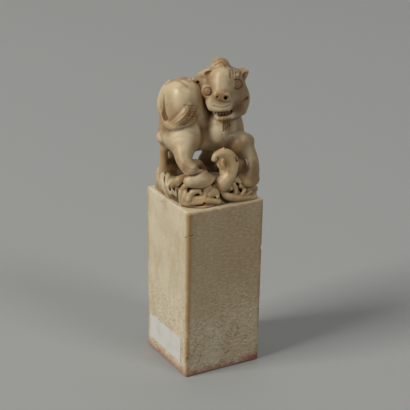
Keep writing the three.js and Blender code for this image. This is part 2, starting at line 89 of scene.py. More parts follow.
# %% [markdown]
# ## Forms as distances
# Carved stone has no edges to model one by one: a shoulder runs into a leg, and a lock of hair
# rises out of a skull. So each form is a function that says how far a point lies from its
# surface, negative inside. Two forms are joined by a soft minimum, which leaves a fillet as a
# carver's file does, and cut by a soft maximum. A form also knows its own box, so that only
# the grid points near it are worked out.

# %% Rods, limbs, eggs, balls and slots
Form = namedtuple("Form", "at low high")


def box_of(points, reach):
    points = np.asarray(points, np.float32)
    return points.min(0) - reach, points.max(0) + reach


def boxed(at, low, high):
    return Form(at, np.array(low, float), np.array(high, float))


def rod(a, b, ra, rb=None):
    """A straight rod whose radius runs from ra to rb."""
    rb = ra if rb is None else rb
    d = [q - p for p, q in zip(a, b)]
    length2 = sum(v * v for v in d)

    def at(x, y, z):
        px, py, pz = x - a[0], y - a[1], z - a[2]
        t = np.clip((px * d[0] + py * d[1] + pz * d[2]) / length2, 0, 1)
        off = (px - t * d[0]) ** 2 + (py - t * d[1]) ** 2 + (pz - t * d[2]) ** 2
        return np.sqrt(off) - ra - (rb - ra) * t

    return Form(at, *box_of([a, b], max(ra, rb)))


def bent(points, parts=4):
    """The points, each x, y, z and radius, with more between them on a smooth curve."""
    p = np.array([points[0], *points, points[-1]], float)
    made = []
    for a, b, c, d in zip(p, p[1:], p[2:], p[3:]):
        for t in np.arange(parts) / parts:
            made.append(b + t / 2 * (c - a + t * (2 * a - 5 * b + 4 * c - d + t * (3 * (b - c) + d - a))))
    return [*made, p[-1]]


def limb(*points):
    """A smooth bent rod through several points, each x, y, z and radius."""
    points = bent(points) if len(points) > 2 else points
    rods = [rod(p[:3], q[:3], p[3], q[3]) for p, q in zip(points, points[1:])]

    def at(x, y, z):
        result = rods[0].at(x, y, z)
        for r in rods[1:]:
            result = np.minimum(result, r.at(x, y, z))
        return result

    return Form(at, *box_of([p[:3] for p in points], max(p[3] for p in points)))


def egg(c, r, turn=0):
    """An ellipsoid with radii r, turned about Z by turn degrees."""
    cos, sin = math.cos(math.radians(turn)), math.sin(math.radians(turn))

    def at(x, y, z):
        px, py, pz = x - c[0], y - c[1], z - c[2]
        qx, qy = cos * px + sin * py, cos * py - sin * px
        k0 = np.sqrt((qx / r[0]) ** 2 + (qy / r[1]) ** 2 + (pz / r[2]) ** 2)
        k1 = np.sqrt((qx / r[0] ** 2) ** 2 + (qy / r[1] ** 2) ** 2 + (pz / r[2] ** 2) ** 2)
        return k0 * (k0 - 1) / np.maximum(k1, 1e-6)

    return Form(at, *box_of([c], max(r)))


def pillow(c, r, turn=0, power=2.8):
    """An ellipsoid with flatter sides, the more so the higher its power."""
    cos, sin = math.cos(math.radians(turn)), math.sin(math.radians(turn))

    def at(x, y, z):
        px, py, pz = x - c[0], y - c[1], z - c[2]
        q = [np.abs(v) / s + 1e-4 for v, s in zip((cos * px + sin * py, cos * py - sin * px, pz), r)]
        k = sum(v**power for v in q) ** (1 / power)
        slope = np.sqrt(sum((v ** (power - 1) / s) ** 2 for v, s in zip(q, r)))
        return (k - 1) * k ** (power - 1) / slope

    return Form(at, *box_of([c], max(r)))


def ball(c, r):
    return egg(c, (r, r, r))


def pipe(c, along, radius, width, reach=2):
    """The round slot of a tube drill held along one line."""
    n = Vector(along).normalized()

    def at(x, y, z):
        p = (x - c[0], y - c[1], z - c[2])
        depth = sum(v * m for v, m in zip(p, n))
        off = np.sqrt(np.maximum(sum(v * v for v in p) - depth * depth, 0))
        return np.maximum(np.abs(off - radius) - width / 2, np.abs(depth) - reach)

    return Form(at, *box_of([c], max(reach, radius + width)))


def beyond(point, normal, low, high):
    """All that lies beyond a plane, inside a box: what a flat rasp takes away."""
    n = Vector(normal).normalized()

    def at(x, y, z):
        height = (x - point[0]) * n[0] + (y - point[1]) * n[1] + (z - point[2]) * n[2]
        box = np.maximum(np.maximum(low[0] - x, x - high[0]), np.maximum(low[1] - y, y - high[1]))
        return np.maximum(np.maximum(box, np.maximum(low[2] - z, z - high[2])), -height)

    return boxed(at, low, high)


def blade(points, along, width, reach=1.6):
    """The slot that a blade leaves when it is swept through points and held along one line."""
    n = Vector(along).normalized()
    path = bent([(*p, 0) for p in points], 3) if len(points) > 2 else [(*p, 0) for p in points]

    def at(x, y, z):
        result = None
        for a, b in zip(path, path[1:]):
            p = [x - a[0], y - a[1], z - a[2]]
            d = [b[k] - a[k] for k in range(3)]
            depth = sum(v * c for v, c in zip(p, n))
            run = sum(v * c for v, c in zip(d, n))
            flat = [c - run * m for c, m in zip(d, n)]
            t = np.clip(sum(v * c for v, c in zip(p, flat)) / sum(c * c for c in flat), 0, 1)
            off = sum((v - depth * m - t * c) ** 2 for v, m, c in zip(p, n, flat))
            slot = np.maximum(np.sqrt(off) - width / 2, np.abs(depth - t * run) - reach)
            result = slot if result is None else np.minimum(result, slot)
        return result

    return Form(at, *box_of(points, reach))


# %% [markdown]
# ## Carving on a grid
# A carving keeps one number for each point of a fine grid: the distance to the stone's skin.
# Adding or cutting a form changes only the points near it. A scribed line is different: it is
# a slot of one depth under whatever surface is there, so it follows the form like a graver.

# %% The carving
NEAR = 3.2


class Carving:
    def __init__(self, low, high, step, whole=None):
        self.axes = [np.arange(a, b, step, dtype=np.float32) for a, b in zip(low, high)]
        self.field = np.full([len(a) for a in self.axes], 9, np.float32)
        self.worked = np.zeros_like(self.field)
        self.step, self.whole = step, whole

    def near(self, form, margin=NEAR):
        """The grid points near a form: where they are in the field, and their x, y and z."""
        ranges = []
        for axis, low, high in zip(self.axes, form.low - margin, form.high + margin):
            ranges.append(slice(*np.searchsorted(axis, [low, high])))
        points = np.meshgrid(*[a[r] for a, r in zip(self.axes, ranges)], indexing="ij", sparse=True)
        return tuple(ranges), points

    def soft_min(self, a, b, blend):
        h = np.maximum(blend - np.abs(a - b), 0) / blend
        return np.minimum(a, b) - h * h * blend / 4

    def add(self, form, blend=0.8):
        where, points = self.near(form)
        self.field[where] = self.soft_min(self.field[where], form.at(*points), blend)
        if self.whole:
            self.whole.add(form, blend)

    def cut(self, form, blend=0.4):
        where, points = self.near(form)
        slot = form.at(*points)
        self.field[where] = -self.soft_min(-self.field[where], slot, blend)
        self.mark(where, slot)
        if self.whole:
            self.whole.cut(form, blend)

    def scribe(self, form, depth=0.25, blend=0.12):
        """Cut a form only as deep as depth below the present surface."""
        where, points = self.near(form, 1)
        stone = self.field[where]
        slot = np.maximum(form.at(*points), -depth - stone)
        self.field[where] = -self.soft_min(-stone, slot, blend)
        self.mark(where, slot)

    def mark(self, where, slot):
        """Remember where a tool has been: 1 in the slot, falling to 0 at its edge."""
        fresh = np.clip(0.6 - slot / 0.4, 0, 1)
        self.worked[where] = np.maximum(self.worked[where], fresh)


# %% [markdown]
# The skin is drawn by surface nets: each grid cell that the surface passes through gets one
# vertex, at the mean of the places where the surface crosses the cell's edges, and each
# crossed edge gets one quad between its four cells. The faces come out even, with no slivers.

# %% Surface nets
def skin(carving):
    field = carving.field
    cells = np.array(field.shape) - 1
    total = np.zeros((4, cells.prod()))
    quads = []
    for axis in range(3):
        low, high = [slice(None)] * 3, [slice(None)] * 3
        low[axis], high[axis] = slice(0, -1), slice(1, None)
        a, b = field[tuple(low)], field[tuple(high)]
        crossed = (a < 0) != (b < 0)
        u, v = (axis + 1) % 3, (axis + 2) % 3
        for side in (u, v):
            edge = [slice(None)] * 3
            edge[side] = [0, -1]
            crossed[tuple(edge)] = False
        at = np.argwhere(crossed)
        a, b = a[crossed], b[crossed]
        point = at.astype(float)
        point[:, axis] += a / (a - b)
        around = []
        for du, dv in ((1, 1), (0, 1), (0, 0), (1, 0)):
            cell = at.copy()
            cell[:, u] -= du
            cell[:, v] -= dv
            index = np.ravel_multi_index(cell.T, cells)
            around.append(index)
            for n in range(3):
                total[n] += np.bincount(index, point[:, n], cells.prod())
            total[3] += np.bincount(index, minlength=cells.prod())
        quad = np.stack(around, 1)
        quad[a > 0] = quad[a > 0][:, ::-1]
        quads.append(quad)
    used = np.flatnonzero(total[3])
    spots = (total[:3, used] / total[3, used]).T
    start = np.array([axis[0] for axis in carving.axes])
    renumber = np.zeros(cells.prod(), int)
    renumber[used] = np.arange(len(used))
    return spots, spots * carving.step + start, renumber[np.concatenate(quads)]


# %% [markdown]
# Dirt and old wax lie in hollows, and the hollows are darkened further as painted shade. Both
# are read from the grid: the share of stone in a small box round a surface point is a half on a
# flat, more in a hollow and less on a ridge. It is blurred at two sizes and kept on the mesh as a
# colour attribute: red for fine carving, green for the broad folds of the whole knob, and blue
# where a drill or a graver has been.

# %% The mesh of a carving
FINE_BLUR = 0.4
BROAD_BLUR = 1.6


def blurred(solid, radius, step):
    width = max(1, round(radius / step))
    result = solid.astype(np.float32)
    for axis in range(3):
        for _ in range(2):
            rims = [(width + 1, width) if n == axis else (0, 0) for n in range(3)]
            summed = np.cumsum(np.pad(result, rims, mode="edge"), axis)
            ahead = np.take(summed, range(2 * width + 1, summed.shape[axis]), axis)
            behind = np.take(summed, range(summed.shape[axis] - 2 * width - 1), axis)
            result = (ahead - behind) / (2 * width + 1)
    return result


def sampled(values, spots):
    """Values of a grid at places between its points, by linear interpolation."""
    low = np.floor(spots).astype(int)
    part = spots - low
    result = 0
    for corner in np.ndindex(2, 2, 2):
        weight = np.prod(np.where(corner, part, 1 - part), axis=1)
        at = np.minimum(low + corner, np.array(values.shape) - 1)
        result = result + weight * values[tuple(at.T)]
    return result


def carved_mesh(name, carving, height, finish):
    """A Blender object with the carving's skin, its hollows kept as a colour attribute."""
    spots, places, quads = skin(carving)
    mesh = bpy.data.meshes.new(name)
    mesh.vertices.add(len(places))
    mesh.vertices.foreach_set("co", ((places + (0, 0, height)) * MM).ravel())
    mesh.loops.add(quads.size)
    mesh.loops.foreach_set("vertex_index", quads.ravel())
    mesh.polygons.add(len(quads))
    mesh.polygons.foreach_set("loop_start", np.arange(0, quads.size, 4))
    mesh.update(calc_edges=True)
    mesh.validate()
    mesh.polygons.foreach_set("use_smooth", np.ones(len(mesh.polygons), bool))
    fine = sampled(blurred(carving.field < 0, FINE_BLUR, carving.step), spots)
    worked = sampled(carving.worked, spots)
    whole = carving.whole or carving
    start = np.array([axis[0] for axis in whole.axes])
    broad = sampled(blurred(whole.field < 0, BROAD_BLUR, whole.step), (places - start) / whole.step)
    colour = np.stack([fine, broad, worked, np.ones_like(fine)], 1).astype(np.float32)
    hollows = mesh.color_attributes.new("hollows", "FLOAT_COLOR", "POINT")
    hollows.data.foreach_set("color", colour.ravel())
    mesh.materials.append(finish)
    print(name, len(places), "points,", len(mesh.polygons), "faces")
    return placed(name, mesh)


# %% [markdown]
# ## Shader maths
# The finishes are sums and products of noise, height and the hollows attribute. A small class
# wraps a socket, so that such a sum is written as Python and adds its Math nodes by itself.

# %% Sockets as numbers
class Value:
    def __init__(self, tree, socket):
        self.tree, self.socket = tree, socket

    def math(self, operation, *others):
        inputs = dict(enumerate((self, *others)))
        return self.tree.node("ShaderNodeMath", {"operation": operation}, inputs)

    def __add__(self, other):
        return self.math("ADD", other)

    def __sub__(self, other):
        return self.math("SUBTRACT", other)

    def __mul__(self, other):
        return self.math("MULTIPLY", other)

    def __truediv__(self, other):
        return self.math("DIVIDE", other)

    def __rsub__(self, other):
        return self.tree.node("ShaderNodeMath", {"operation": "SUBTRACT"}, {0: other, 1: self})

    __radd__, __rmul__ = __add__, __mul__

    def over(self, low, high):
        """0 below low, 1 above high and smooth between them."""
        inputs = {"Value": self, "From Min": low, "From Max": high}
        return self.tree.node("ShaderNodeMapRange", {"interpolation_type": "SMOOTHSTEP"}, inputs)

    def abs(self):
        return self.math("ABSOLUTE")


class Finish:
    """A material and the few node calls that its recipe needs."""

    def __init__(self, name, **shader):
        self.material = bpy.data.materials.new(name)
        self.material.use_nodes = True
        self.nodes = self.material.node_tree.nodes
        self.links = self.material.node_tree.links
        self.shader = self.nodes["Principled BSDF"]
        for socket, value in shader.items():
            self.shader.inputs[socket.replace("_", " ")].default_value = value

    def node(self, kind, settings=None, inputs=None, output=0):
        made = self.nodes.new(kind)
        for key, value in (settings or {}).items():
            setattr(made, key, value)
        for key, value in (inputs or {}).items():
            self.feed(made.inputs[key], value)
        return Value(self, made.outputs[output])

    def feed(self, socket, value):
        if isinstance(value, Value):
            self.links.new(value.socket, socket)
        else:
            socket.default_value = value

    def noise(self, scale, detail=4, rough=0.55, stretch=None):
        where = self.node("ShaderNodeTexCoord", output="Object")
        if stretch:
            where = self.node("ShaderNodeVectorMath", {"operation": "MULTIPLY"}, {0: where, 1: stretch})
        inputs = {"Vector": where, "Scale": scale, "Detail": detail, "Roughness": rough}
        return self.node("ShaderNodeTexNoise", None, inputs)

    def place(self):
        """X, Y and Z in metres."""
        parts = self.nodes.new("ShaderNodeSeparateXYZ")
        self.feed(parts.inputs[0], self.node("ShaderNodeTexCoord", output="Object"))
        return [Value(self, out) for out in parts.outputs]

    def mix(self, a, b, share):
        """Colour a where share is 0, colour b where it is 1."""
        made = self.nodes.new("ShaderNodeMix")
        made.data_type = "RGBA"
        self.feed(made.inputs[0], share)
        self.feed(made.inputs[6], a)
        self.feed(made.inputs[7], b)
        return Value(self, made.outputs[2])

    def attribute(self, name):
        """The red, green and blue of a colour attribute."""
        parts = self.nodes.new("ShaderNodeSeparateColor")
        self.feed(parts.inputs[0], self.node("ShaderNodeAttribute", {"attribute_name": name}))
        return [Value(self, out) for out in parts.outputs]

    def set(self, socket, value):
        self.feed(self.shader.inputs[socket], value)

    def bump(self, height, strength, distance):
        inputs = {"Height": height, "Strength": strength, "Distance": distance}
        self.set("Normal", self.node("ShaderNodeBump", None, inputs))


def colour(r, g, b):
    """An sRGB colour of 0 to 255 as the shader's linear one."""
    parts = [v / 255 for v in (r, g, b)]
    return (*[v / 12.92 if v < 0.04045 else ((v + 0.055) / 1.055) ** 2.4 for v in parts], 1)

# %% [markdown]
# ## The stone
# Waxed soapstone is a warm, slightly clouded beige that lets light in a little way. Brown wax
# and painted shade darken the carving, patches of painted shade and painted highlights lie on the
# knob, the foot is dirty and stained with red paste, and the lower bar is peppered with fine dark
# pores. The same recipe dresses the bar, the waves and the beast, because they are one stone.

# %% Stone
STONE_PALE = colour(212, 200, 173)
STONE_WARM = colour(184, 160, 120)
STONE_AMBER = colour(160, 132, 88)
KNOB_PALE = colour(204, 186, 152)
KNOB_WARM = colour(166, 138, 96)
KNOB_AMBER = colour(150, 116, 68)
# Brown of old wax, and of painted shade in the hollows, the slots and the gaps of the knob.
WAX_AND_SHADE_BROWN = colour(122, 84, 46)
# Nearly black: dirt with painted shade in the deepest hollows, and the dark of the crack.
CREVICE_DIRT_AND_SHADE = colour(50, 31, 17)
FOOT_RED = colour(152, 56, 44)
RIND = colour(166, 124, 66)
SHADE_AMBER = colour(158, 122, 74)
PORE = colour(84, 66, 44)
# A brown of painted shade, for shaded sides, gaps and recesses of the knob.
PAINTED_SHADE_BROWN = colour(116, 85, 50)
AMBER = colour(160, 118, 62)
# A pale used for the bar's ripples and for painted highlights on the knob.
PALE_AND_PAINTED_HIGHLIGHT = colour(232, 214, 178)
# The amber of the waves, lightened as painted light on the scroll and the front waves.
GOLDEN_PAINTED_LIGHT = colour(226, 190, 134)
# Tinted patches of the knob, some stains and some painted shade or painted highlights: centre
# and reach in mm, tint and share.
STAIN_AND_LIGHT_PATCHES = (
    (9, -5.5, 84.5, 7, PAINTED_SHADE_BROWN, 0.6),
    (6.3, -7, 69, 4.2, PAINTED_SHADE_BROWN, 0.85),
    (9.8, -10, 61.5, 4.5, PAINTED_SHADE_BROWN, 0.55),
    (8.2, -9.2, 62.5, 2.4, WAX_AND_SHADE_BROWN, 0.7),
    (-3.4, -3.4, 76, 3.6, PALE_AND_PAINTED_HIGHLIGHT, 0.25),
    (-5.4, -4, 72, 3.6, AMBER, 0.35),
    (1, -11.5, 66, 6, GOLDEN_PAINTED_LIGHT, 0.6),
    (-4.6, -11, 57.2, 6, GOLDEN_PAINTED_LIGHT, 0.6),
    (5, -11.5, 57.5, 5, GOLDEN_PAINTED_LIGHT, 0.3),
    (0.3, -5.5, 73.4, 3.4, PALE_AND_PAINTED_HIGHLIGHT, 0.9),
    (-11.4, -4.5, 74, 5, PALE_AND_PAINTED_HIGHLIGHT, 0.5),
    (-8.7, -2.9, 84.4, 4.5, PALE_AND_PAINTED_HIGHLIGHT, 0.4),
    (-12.2, 5, 71.2, 2.8, PALE_AND_PAINTED_HIGHLIGHT, 0.6),
    (7.3, -7.2, 78.6, 3.2, PAINTED_SHADE_BROWN, 0.6),
    (9.4, -4.2, 75, 2.8, PAINTED_SHADE_BROWN, 0.5),
    (2.6, 3, 58.6, 6, WAX_AND_SHADE_BROWN, 0.8),
    (1.8, -7.7, 78.2, 2, AMBER, 0.6),
    (5.4, -8, 81.2, 1.6, WAX_AND_SHADE_BROWN, 0.4),
    (4, -6.4, 76.5, 2.8, AMBER, 0.6),
    (3.6, -2.4, 93.2, 2.6, AMBER, 0.3),
    (1.5, -8, 79, 2.6, PAINTED_SHADE_BROWN, 0.4),
    (6.6, -7.8, 81.5, 2.6, WAX_AND_SHADE_BROWN, 0.6),
    (0.4, -8, 85.4, 3, AMBER, 0.8),
    (7.3, -6, 88, 2.6, WAX_AND_SHADE_BROWN, 0.45),
    (2, -4, 88.5, 5, KNOB_WARM, 0.35),
    (11, -9, 71, 3.5, PAINTED_SHADE_BROWN, 0.25),
    (-1.5, -4, 86, 2, AMBER, 0.6),
    (11.2, -4, 89.3, 2, WAX_AND_SHADE_BROWN, 0.7),
    (-2.7, 0.2, 88.4, 2.4, PAINTED_SHADE_BROWN, 0.5),
    (-8, -4.6, 79.6, 2.6, AMBER, 0.6),
    (-12.4, 2.6, 79, 1.9, WAX_AND_SHADE_BROWN, 0.6),
    (-11, 5.4, 64, 4.5, AMBER, 0.6),
    (-8.2, 5, 61.5, 3.6, WAX_AND_SHADE_BROWN, 0.8),
    (-2.9, -5, 63, 3.2, WAX_AND_SHADE_BROWN, 0.5),
    (-11.3, -8.2, 54.8, 2.6, AMBER, 0.4),
)


def stone(name, carved):
    s = Finish(name, Roughness=0.42, IOR=1.5, Subsurface_Weight=0.12, Subsurface_Scale=0.0016)
    s.shader.inputs["Subsurface Radius"].default_value = (1, 0.55, 0.28)
    x, y, z = s.place()
    cloud = s.noise(95, 5)
    streak = s.noise(60, 3, 0.6, (1, 1, 0.25))
    tone = (cloud * 0.7 + streak * 0.3).over(0.36, 0.66)
    pale, warm = (KNOB_PALE, KNOB_WARM) if carved else (STONE_PALE, STONE_WARM)
    body = s.mix(pale, warm, tone * (0.8 if carved else 0.5) + (0.15 if carved else 0))
    grain = s.noise(1900, 3, 0.6)
    roughness = (0.34 if carved else 0.38) + cloud * 0.16
    height = grain * 0.3
    if carved:
        # Hollows hold brown wax with painted shade, the deepest are nearly black with dirt and
        # painted shade, and each patch has its own tint: a stain, painted shade or a painted highlight.
        fine, broad, worked = s.attribute("hollows")
        stain = s.noise(210, 4)
        hollow = (fine * 0.5 + broad * 0.5 + (stain - 0.5) * 0.12).over(0.44, 0.62)
        deep = (fine * 0.4 + broad * 0.6 + (stain - 0.5) * 0.06).over(0.58, 0.76)
        body = s.mix(body, KNOB_AMBER, stain.over(0.48, 0.64) * 0.5)
        for *place, reach, tint, share in STAIN_AND_LIGHT_PATCHES:
            far = [(a - b * MM) * (1 / MM) for a, b in zip((x, y, z), place)]
            square = far[0] * far[0] + far[1] * far[1] + far[2] * far[2]
            outside = (square + (stain - 0.5) * 12).over(0.1 * reach**2, reach**2)
            body = s.mix(body, tint, (1 - outside) * share)
        body = s.mix(body, WAX_AND_SHADE_BROWN, hollow * 0.8)
        # The slots of drill and graver get brown wax and painted shade.
        body = s.mix(body, WAX_AND_SHADE_BROWN, worked * 0.65)
        body = s.mix(body, CREVICE_DIRT_AND_SHADE, deep)
        roughness = roughness + hollow * 0.2
    else:
        # The stone's own streaks and ripples; the front face is the darker one.
        low = 1 - (z + (s.noise(150, 3) - 0.5) * 0.01).over(0.015, 0.03)
        dark_side = 1 - y.over(-0.0129, -0.0118)
        body = s.mix(body, SHADE_AMBER, dark_side * (0.2 + (1 - low) * 0.35))
        streaks = s.noise(380, 5, 0.75, (1, 1, 0.3))
        body = s.mix(body, STONE_AMBER, streaks.over(0.46, 0.62) * (0.2 - dark_side * 0.12))
        ripples = s.noise(700, 5, 0.75, (1, 1, 2.4))
        rough = 0.12 + dark_side * 0.14 + low * 0.26
        body = s.mix(body, PORE, ripples.over(0.5, 0.68) * rough)
        body = s.mix(body, PALE_AND_PAINTED_HIGHLIGHT, (1 - ripples).over(0.5, 0.66) * rough * 1.5)
        # The worn front edge, wax that ran down from the top, and the short crack.
        corner = (0 - x - y).over(0.0236, 0.0253)
        body = s.mix(body, RIND, corner * (0.45 + s.noise(160, 3).over(0.35, 0.6) * 0.4))
        spill = ((y - 0.0026).abs() / 0.0042 + (z - 0.0508).abs() / 0.0026).over(0.3, 1)
        body = s.mix(body, RIND, (1 - spill) * s.noise(500, 4).over(0.4, 0.6) * 0.55)
        crack = z + (y + 0.0125) * 0.5 - (x + 0.01275) * 0.2 - 0.0461
        short = (x + 0.0126) * (x + 0.0126) + (y + 0.0124) * (y + 0.0124)
        crack = (1 - crack.abs().over(0.00006, 0.00024)) * (1 - short.over(0.0000012, 0.0000045))
        body = s.mix(body, CREVICE_DIRT_AND_SHADE, crack * 0.85)
        # Handled edges, the pores of the lower half, and red paste at the foot.
        edge = x.abs().over(0.0112, 0.0126) * y.abs().over(0.0112, 0.0126)
        body = s.mix(body, STONE_AMBER, edge * s.noise(180, 3).over(0.3, 0.6) * 0.8)
        pore = s.noise(1500, 2, 0.5).over(0.55, 0.64) * low * s.noise(260, 3).over(0.38, 0.6)
        body = s.mix(body, PORE, pore * 0.55)
        foot = 1 - (z + (s.noise(420, 4) - 0.5) * 0.006).over(0.0004, 0.0034)
        body = s.mix(body, FOOT_RED, foot * (0.55 + dark_side * x.over(0.002, 0.012) * 0.35))
        roughness = roughness + pore * 0.2 + foot * 0.15
        height = height - pore * 0.8
    s.set("Base Color", body)
    s.set("Roughness", roughness)
    s.bump(height, 0.25, 0.00008)
    return s.material


carved_stone = stone("carved_stone", True)
bar_stone = stone("bar_stone", False)

# %% [markdown]
# ## The waves
# The base is a low rounded square of water. Crests curl up round the hooves, each a hook of
# water over a drilled hollow, long swells run along the front right, and one tall scroll
# stands beside the belly. Points are in millimetres from the centre of the bar's top.

# %% Places that the pieces share
def millimetres(node):
    """A CAD node's lowest and highest corners."""
    return [[round(v / MM, 2) for v in corner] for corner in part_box(node)]


HALF_WIDTH, HALF_DEPTH_TOP, BAR_TOP = millimetres("seal_block")[1]
WAVE_STEP, BODY_STEP, HEAD_STEP, WHOLE_STEP = 0.22, 0.22, 0.17, 0.3
Hoof = namedtuple("Hoof", "x y z length width turn")
HOOVES = (
    Hoof(-7, -8.7, 7, 4.8, 2.9, -6),
    Hoof(9.4, -9.3, 4.6, 3.5, 2.8, -12),
    Hoof(-9, 6.6, 6.2, 2.6, 2.2, 0),
    Hoof(4.8, 7, 6.2, 2.8, 2.4, 0),
)
VIEW = (-0.46, -0.81, 0.37)
FRONT = (-0.48, -0.82, 0.3)
whole = Carving((-15, -15, -3), (15, 15, 45), WHOLE_STEP)


def bar_top(x, y, z):
    return np.maximum(np.maximum(np.abs(x) - HALF_WIDTH, np.abs(y) - HALF_DEPTH_TOP), z)


def water_slab(x, y, z):
    qx, qy = np.abs(x - 0.1) - 9.4, np.abs(y) - 9.4
    outside = np.sqrt(np.maximum(qx, 0) ** 2 + np.maximum(qy, 0) ** 2)
    side = outside + np.minimum(np.maximum(qx, qy), 0) - 2.4
    corner = -0.75 * x - 0.66 * y - 13.2
    return np.maximum(np.maximum(side, corner) + 0.22 * z, z - 3.2)


def crest(centre, r, out, side):
    """A hook of water that curls over a drilled hollow, to one side or the other."""
    n = Vector(out).normalized()
    across = Vector((0, 0, 1)).cross(n).normalized() * side
    up = n.cross(across) * side
    waves.add(ball(Vector(centre) - 0.5 * r * n, 0.95 * r), 0.7)
    hook = []
    for k in range(7):
        angle = math.radians(240 - 43 * k)
        far = r * (1.0 - 0.06 * k)
        place = Vector(centre) + (0.12 + 0.05 * k) * r * n
        place += far * (math.cos(angle) * across + math.sin(angle) * up)
        hook.append((*place, r * (0.5 - 0.045 * k)))
    waves.add(limb(*hook), 0.25)
    eye = Vector(centre) + 0.12 * r * across - 0.05 * r * up
    waves.cut(rod(eye + 1.4 * r * n, eye - 0.25 * r * n, 0.4 * r, 0.32 * r), 0.15)
    mouth = eye + 0.7 * r * across - 0.7 * r * up
    waves.cut(rod(eye + 0.8 * r * n, mouth + 0.8 * r * n, 0.38 * r, 0.3 * r), 0.2)


# %% The water
whole.add(boxed(bar_top, [-13, -13, -3], [13, 13, 0]))
waves = Carving((-13.2, -13.2, -0.9), (13.2, 13.2, 18.6), WAVE_STEP, whole)
waves.add(boxed(water_slab, [-12, -12, -1], [12, 12, 3.2]))
for h in HOOVES:
    waves.add(egg((h.x, h.y * 0.9, 1), (h.length - 0.2, h.width - 0.1, h.z + 0.4), h.turn), 1)
MOUNDS = (
    ((-9.8, 8.6, 3.4, 2.2), (-4, 8.6, 5.4, 2.2), (1.6, 8.6, 4.4, 2.2), (9.4, 7.6, 3.8, 2.2)),
    ((-9.8, 3.6, 3.2, 2), (-5, 0.4, 4, 2.4), (2, 0, 3.6, 2.4), (8.6, -1, 2.8, 2.2)),
    ((-7.4, -3.6, 11.2, 1.8), (-5.6, -3.8, 11.1, 1.5), (-4.2, -3.4, 10.5, 1.4), (-2.6, -4.6, 6.9, 1.6),
     (-1, -6, 6, 1.7)),
    ((-9.8, 5.6, 2.6, 2.5), (-10.2, 1.6, 3, 2.5), (-10.2, -2.6, 3.2, 2.5), (-9.6, -5.6, 3, 2.4)),
    ((-10.4, 5, 4.8, 1.8), (-10.6, 1.6, 4, 1.9), (-10.7, -1.6, 4.6, 1.9), (-10.2, -4.6, 6, 1.9)),
    ((-9, 8.8, 5, 2), (-6.8, 8.6, 8.6, 1.9), (-6.4, 8.2, 12.8, 1.7)),
    ((-5, 8.4, 5, 2), (-4.8, 8.2, 8.8, 1.7), (-5, 7.8, 12.6, 1.5)),
    ((9.4, -2.2, 2.6, 2.7), (9.6, -2.6, 6.6, 2.3), (9.2, -2.6, 10.6, 2.2)),
    ((10.6, -4, 3, 1.7), (10.6, -4.2, 6, 1.7), (10.1, -4.2, 8.9, 1.6)),
    ((1.6, -9, 3.4, 2.2), (5, -9, 5, 1.9), (7.6, -8.4, 5.6, 1.8)),
    ((1.5, -9.8, 1.8, 1.5), (6.5, -10.2, 1.3, 1.6), (10.6, -10.2, 1.2, 1.6)),
    ((-5, -8.4, 3.4, 1.9), (-1, -8.4, 3.4, 1.9)),
)
for points in MOUNDS:
    waves.add(limb(*points), 1)


def front_slope(x, y, z):
    """How far the front of the water is worn back between its crests, in mm."""
    front = np.clip((-y - 7.6) / 1.6, 0, 1) + np.clip((-0.75 * x - 0.66 * y - 8.6) / 1.6, 0, 1)
    low = np.where(x > 5.5, 3.6, 6)
    return 0.5 * np.clip(front, 0, 1) * np.clip((low - z) / 1.2, 0, 1)


grid = np.meshgrid(*waves.axes, indexing="ij", sparse=True)
waves.field += front_slope(*grid)

# %% [markdown]
# The crests at the front are carved one by one, ridges of water first and then the hollows that
# each curl leaves under its tip. They are drawn as the camera sees them: a place across and down
# the square picture, in pixels, and a radius in millimetres. `on_water` follows the line of
# sight to the water and gives the point there. The left flank is seen edge-on, so its places
# have their Y as well, and `at_depth` gives the point.

# %% Crests at the front
PICTURE = 410
EYE = np.array(CAMERA_AT) - (0, 0, BAR_TOP)
SIGHT = np.arange(370, 440, 0.05)
still_water = waves.field.copy()


def sight(across, down):
    """The direction from the eye through a pixel."""
    right, up, back = (np.array(v) for v in (CAMERA_RIGHT, CAMERA_UP, CAMERA_BACK))
    reach = PICTURE * LENS / SENSOR
    toward = (across - PICTURE / 2) / reach * right - (down - PICTURE / 2) / reach * up - back
    return toward / np.linalg.norm(toward)


def at_depth(across, down, y, *rest):
    """The point of a line of sight whose Y is given, followed by the rest."""
    toward = sight(across, down)
    return (*(EYE + (y - EYE[1]) / toward[1] * toward), *rest)


def on_water(across, down, sink):
    """The point sink mm behind the water's face, on the line of sight through a pixel."""
    toward = sight(across, down)
    path = EYE + SIGHT[:, None] * toward
    spots = (path - [axis[0] for axis in waves.axes]) / WAVE_STEP
    within = np.all((spots > 0) & (spots < np.array(still_water.shape) - 1), axis=1)
    first = np.argmax(sampled(still_water, spots[within]) < 0)
    return path[within][first] + sink * toward


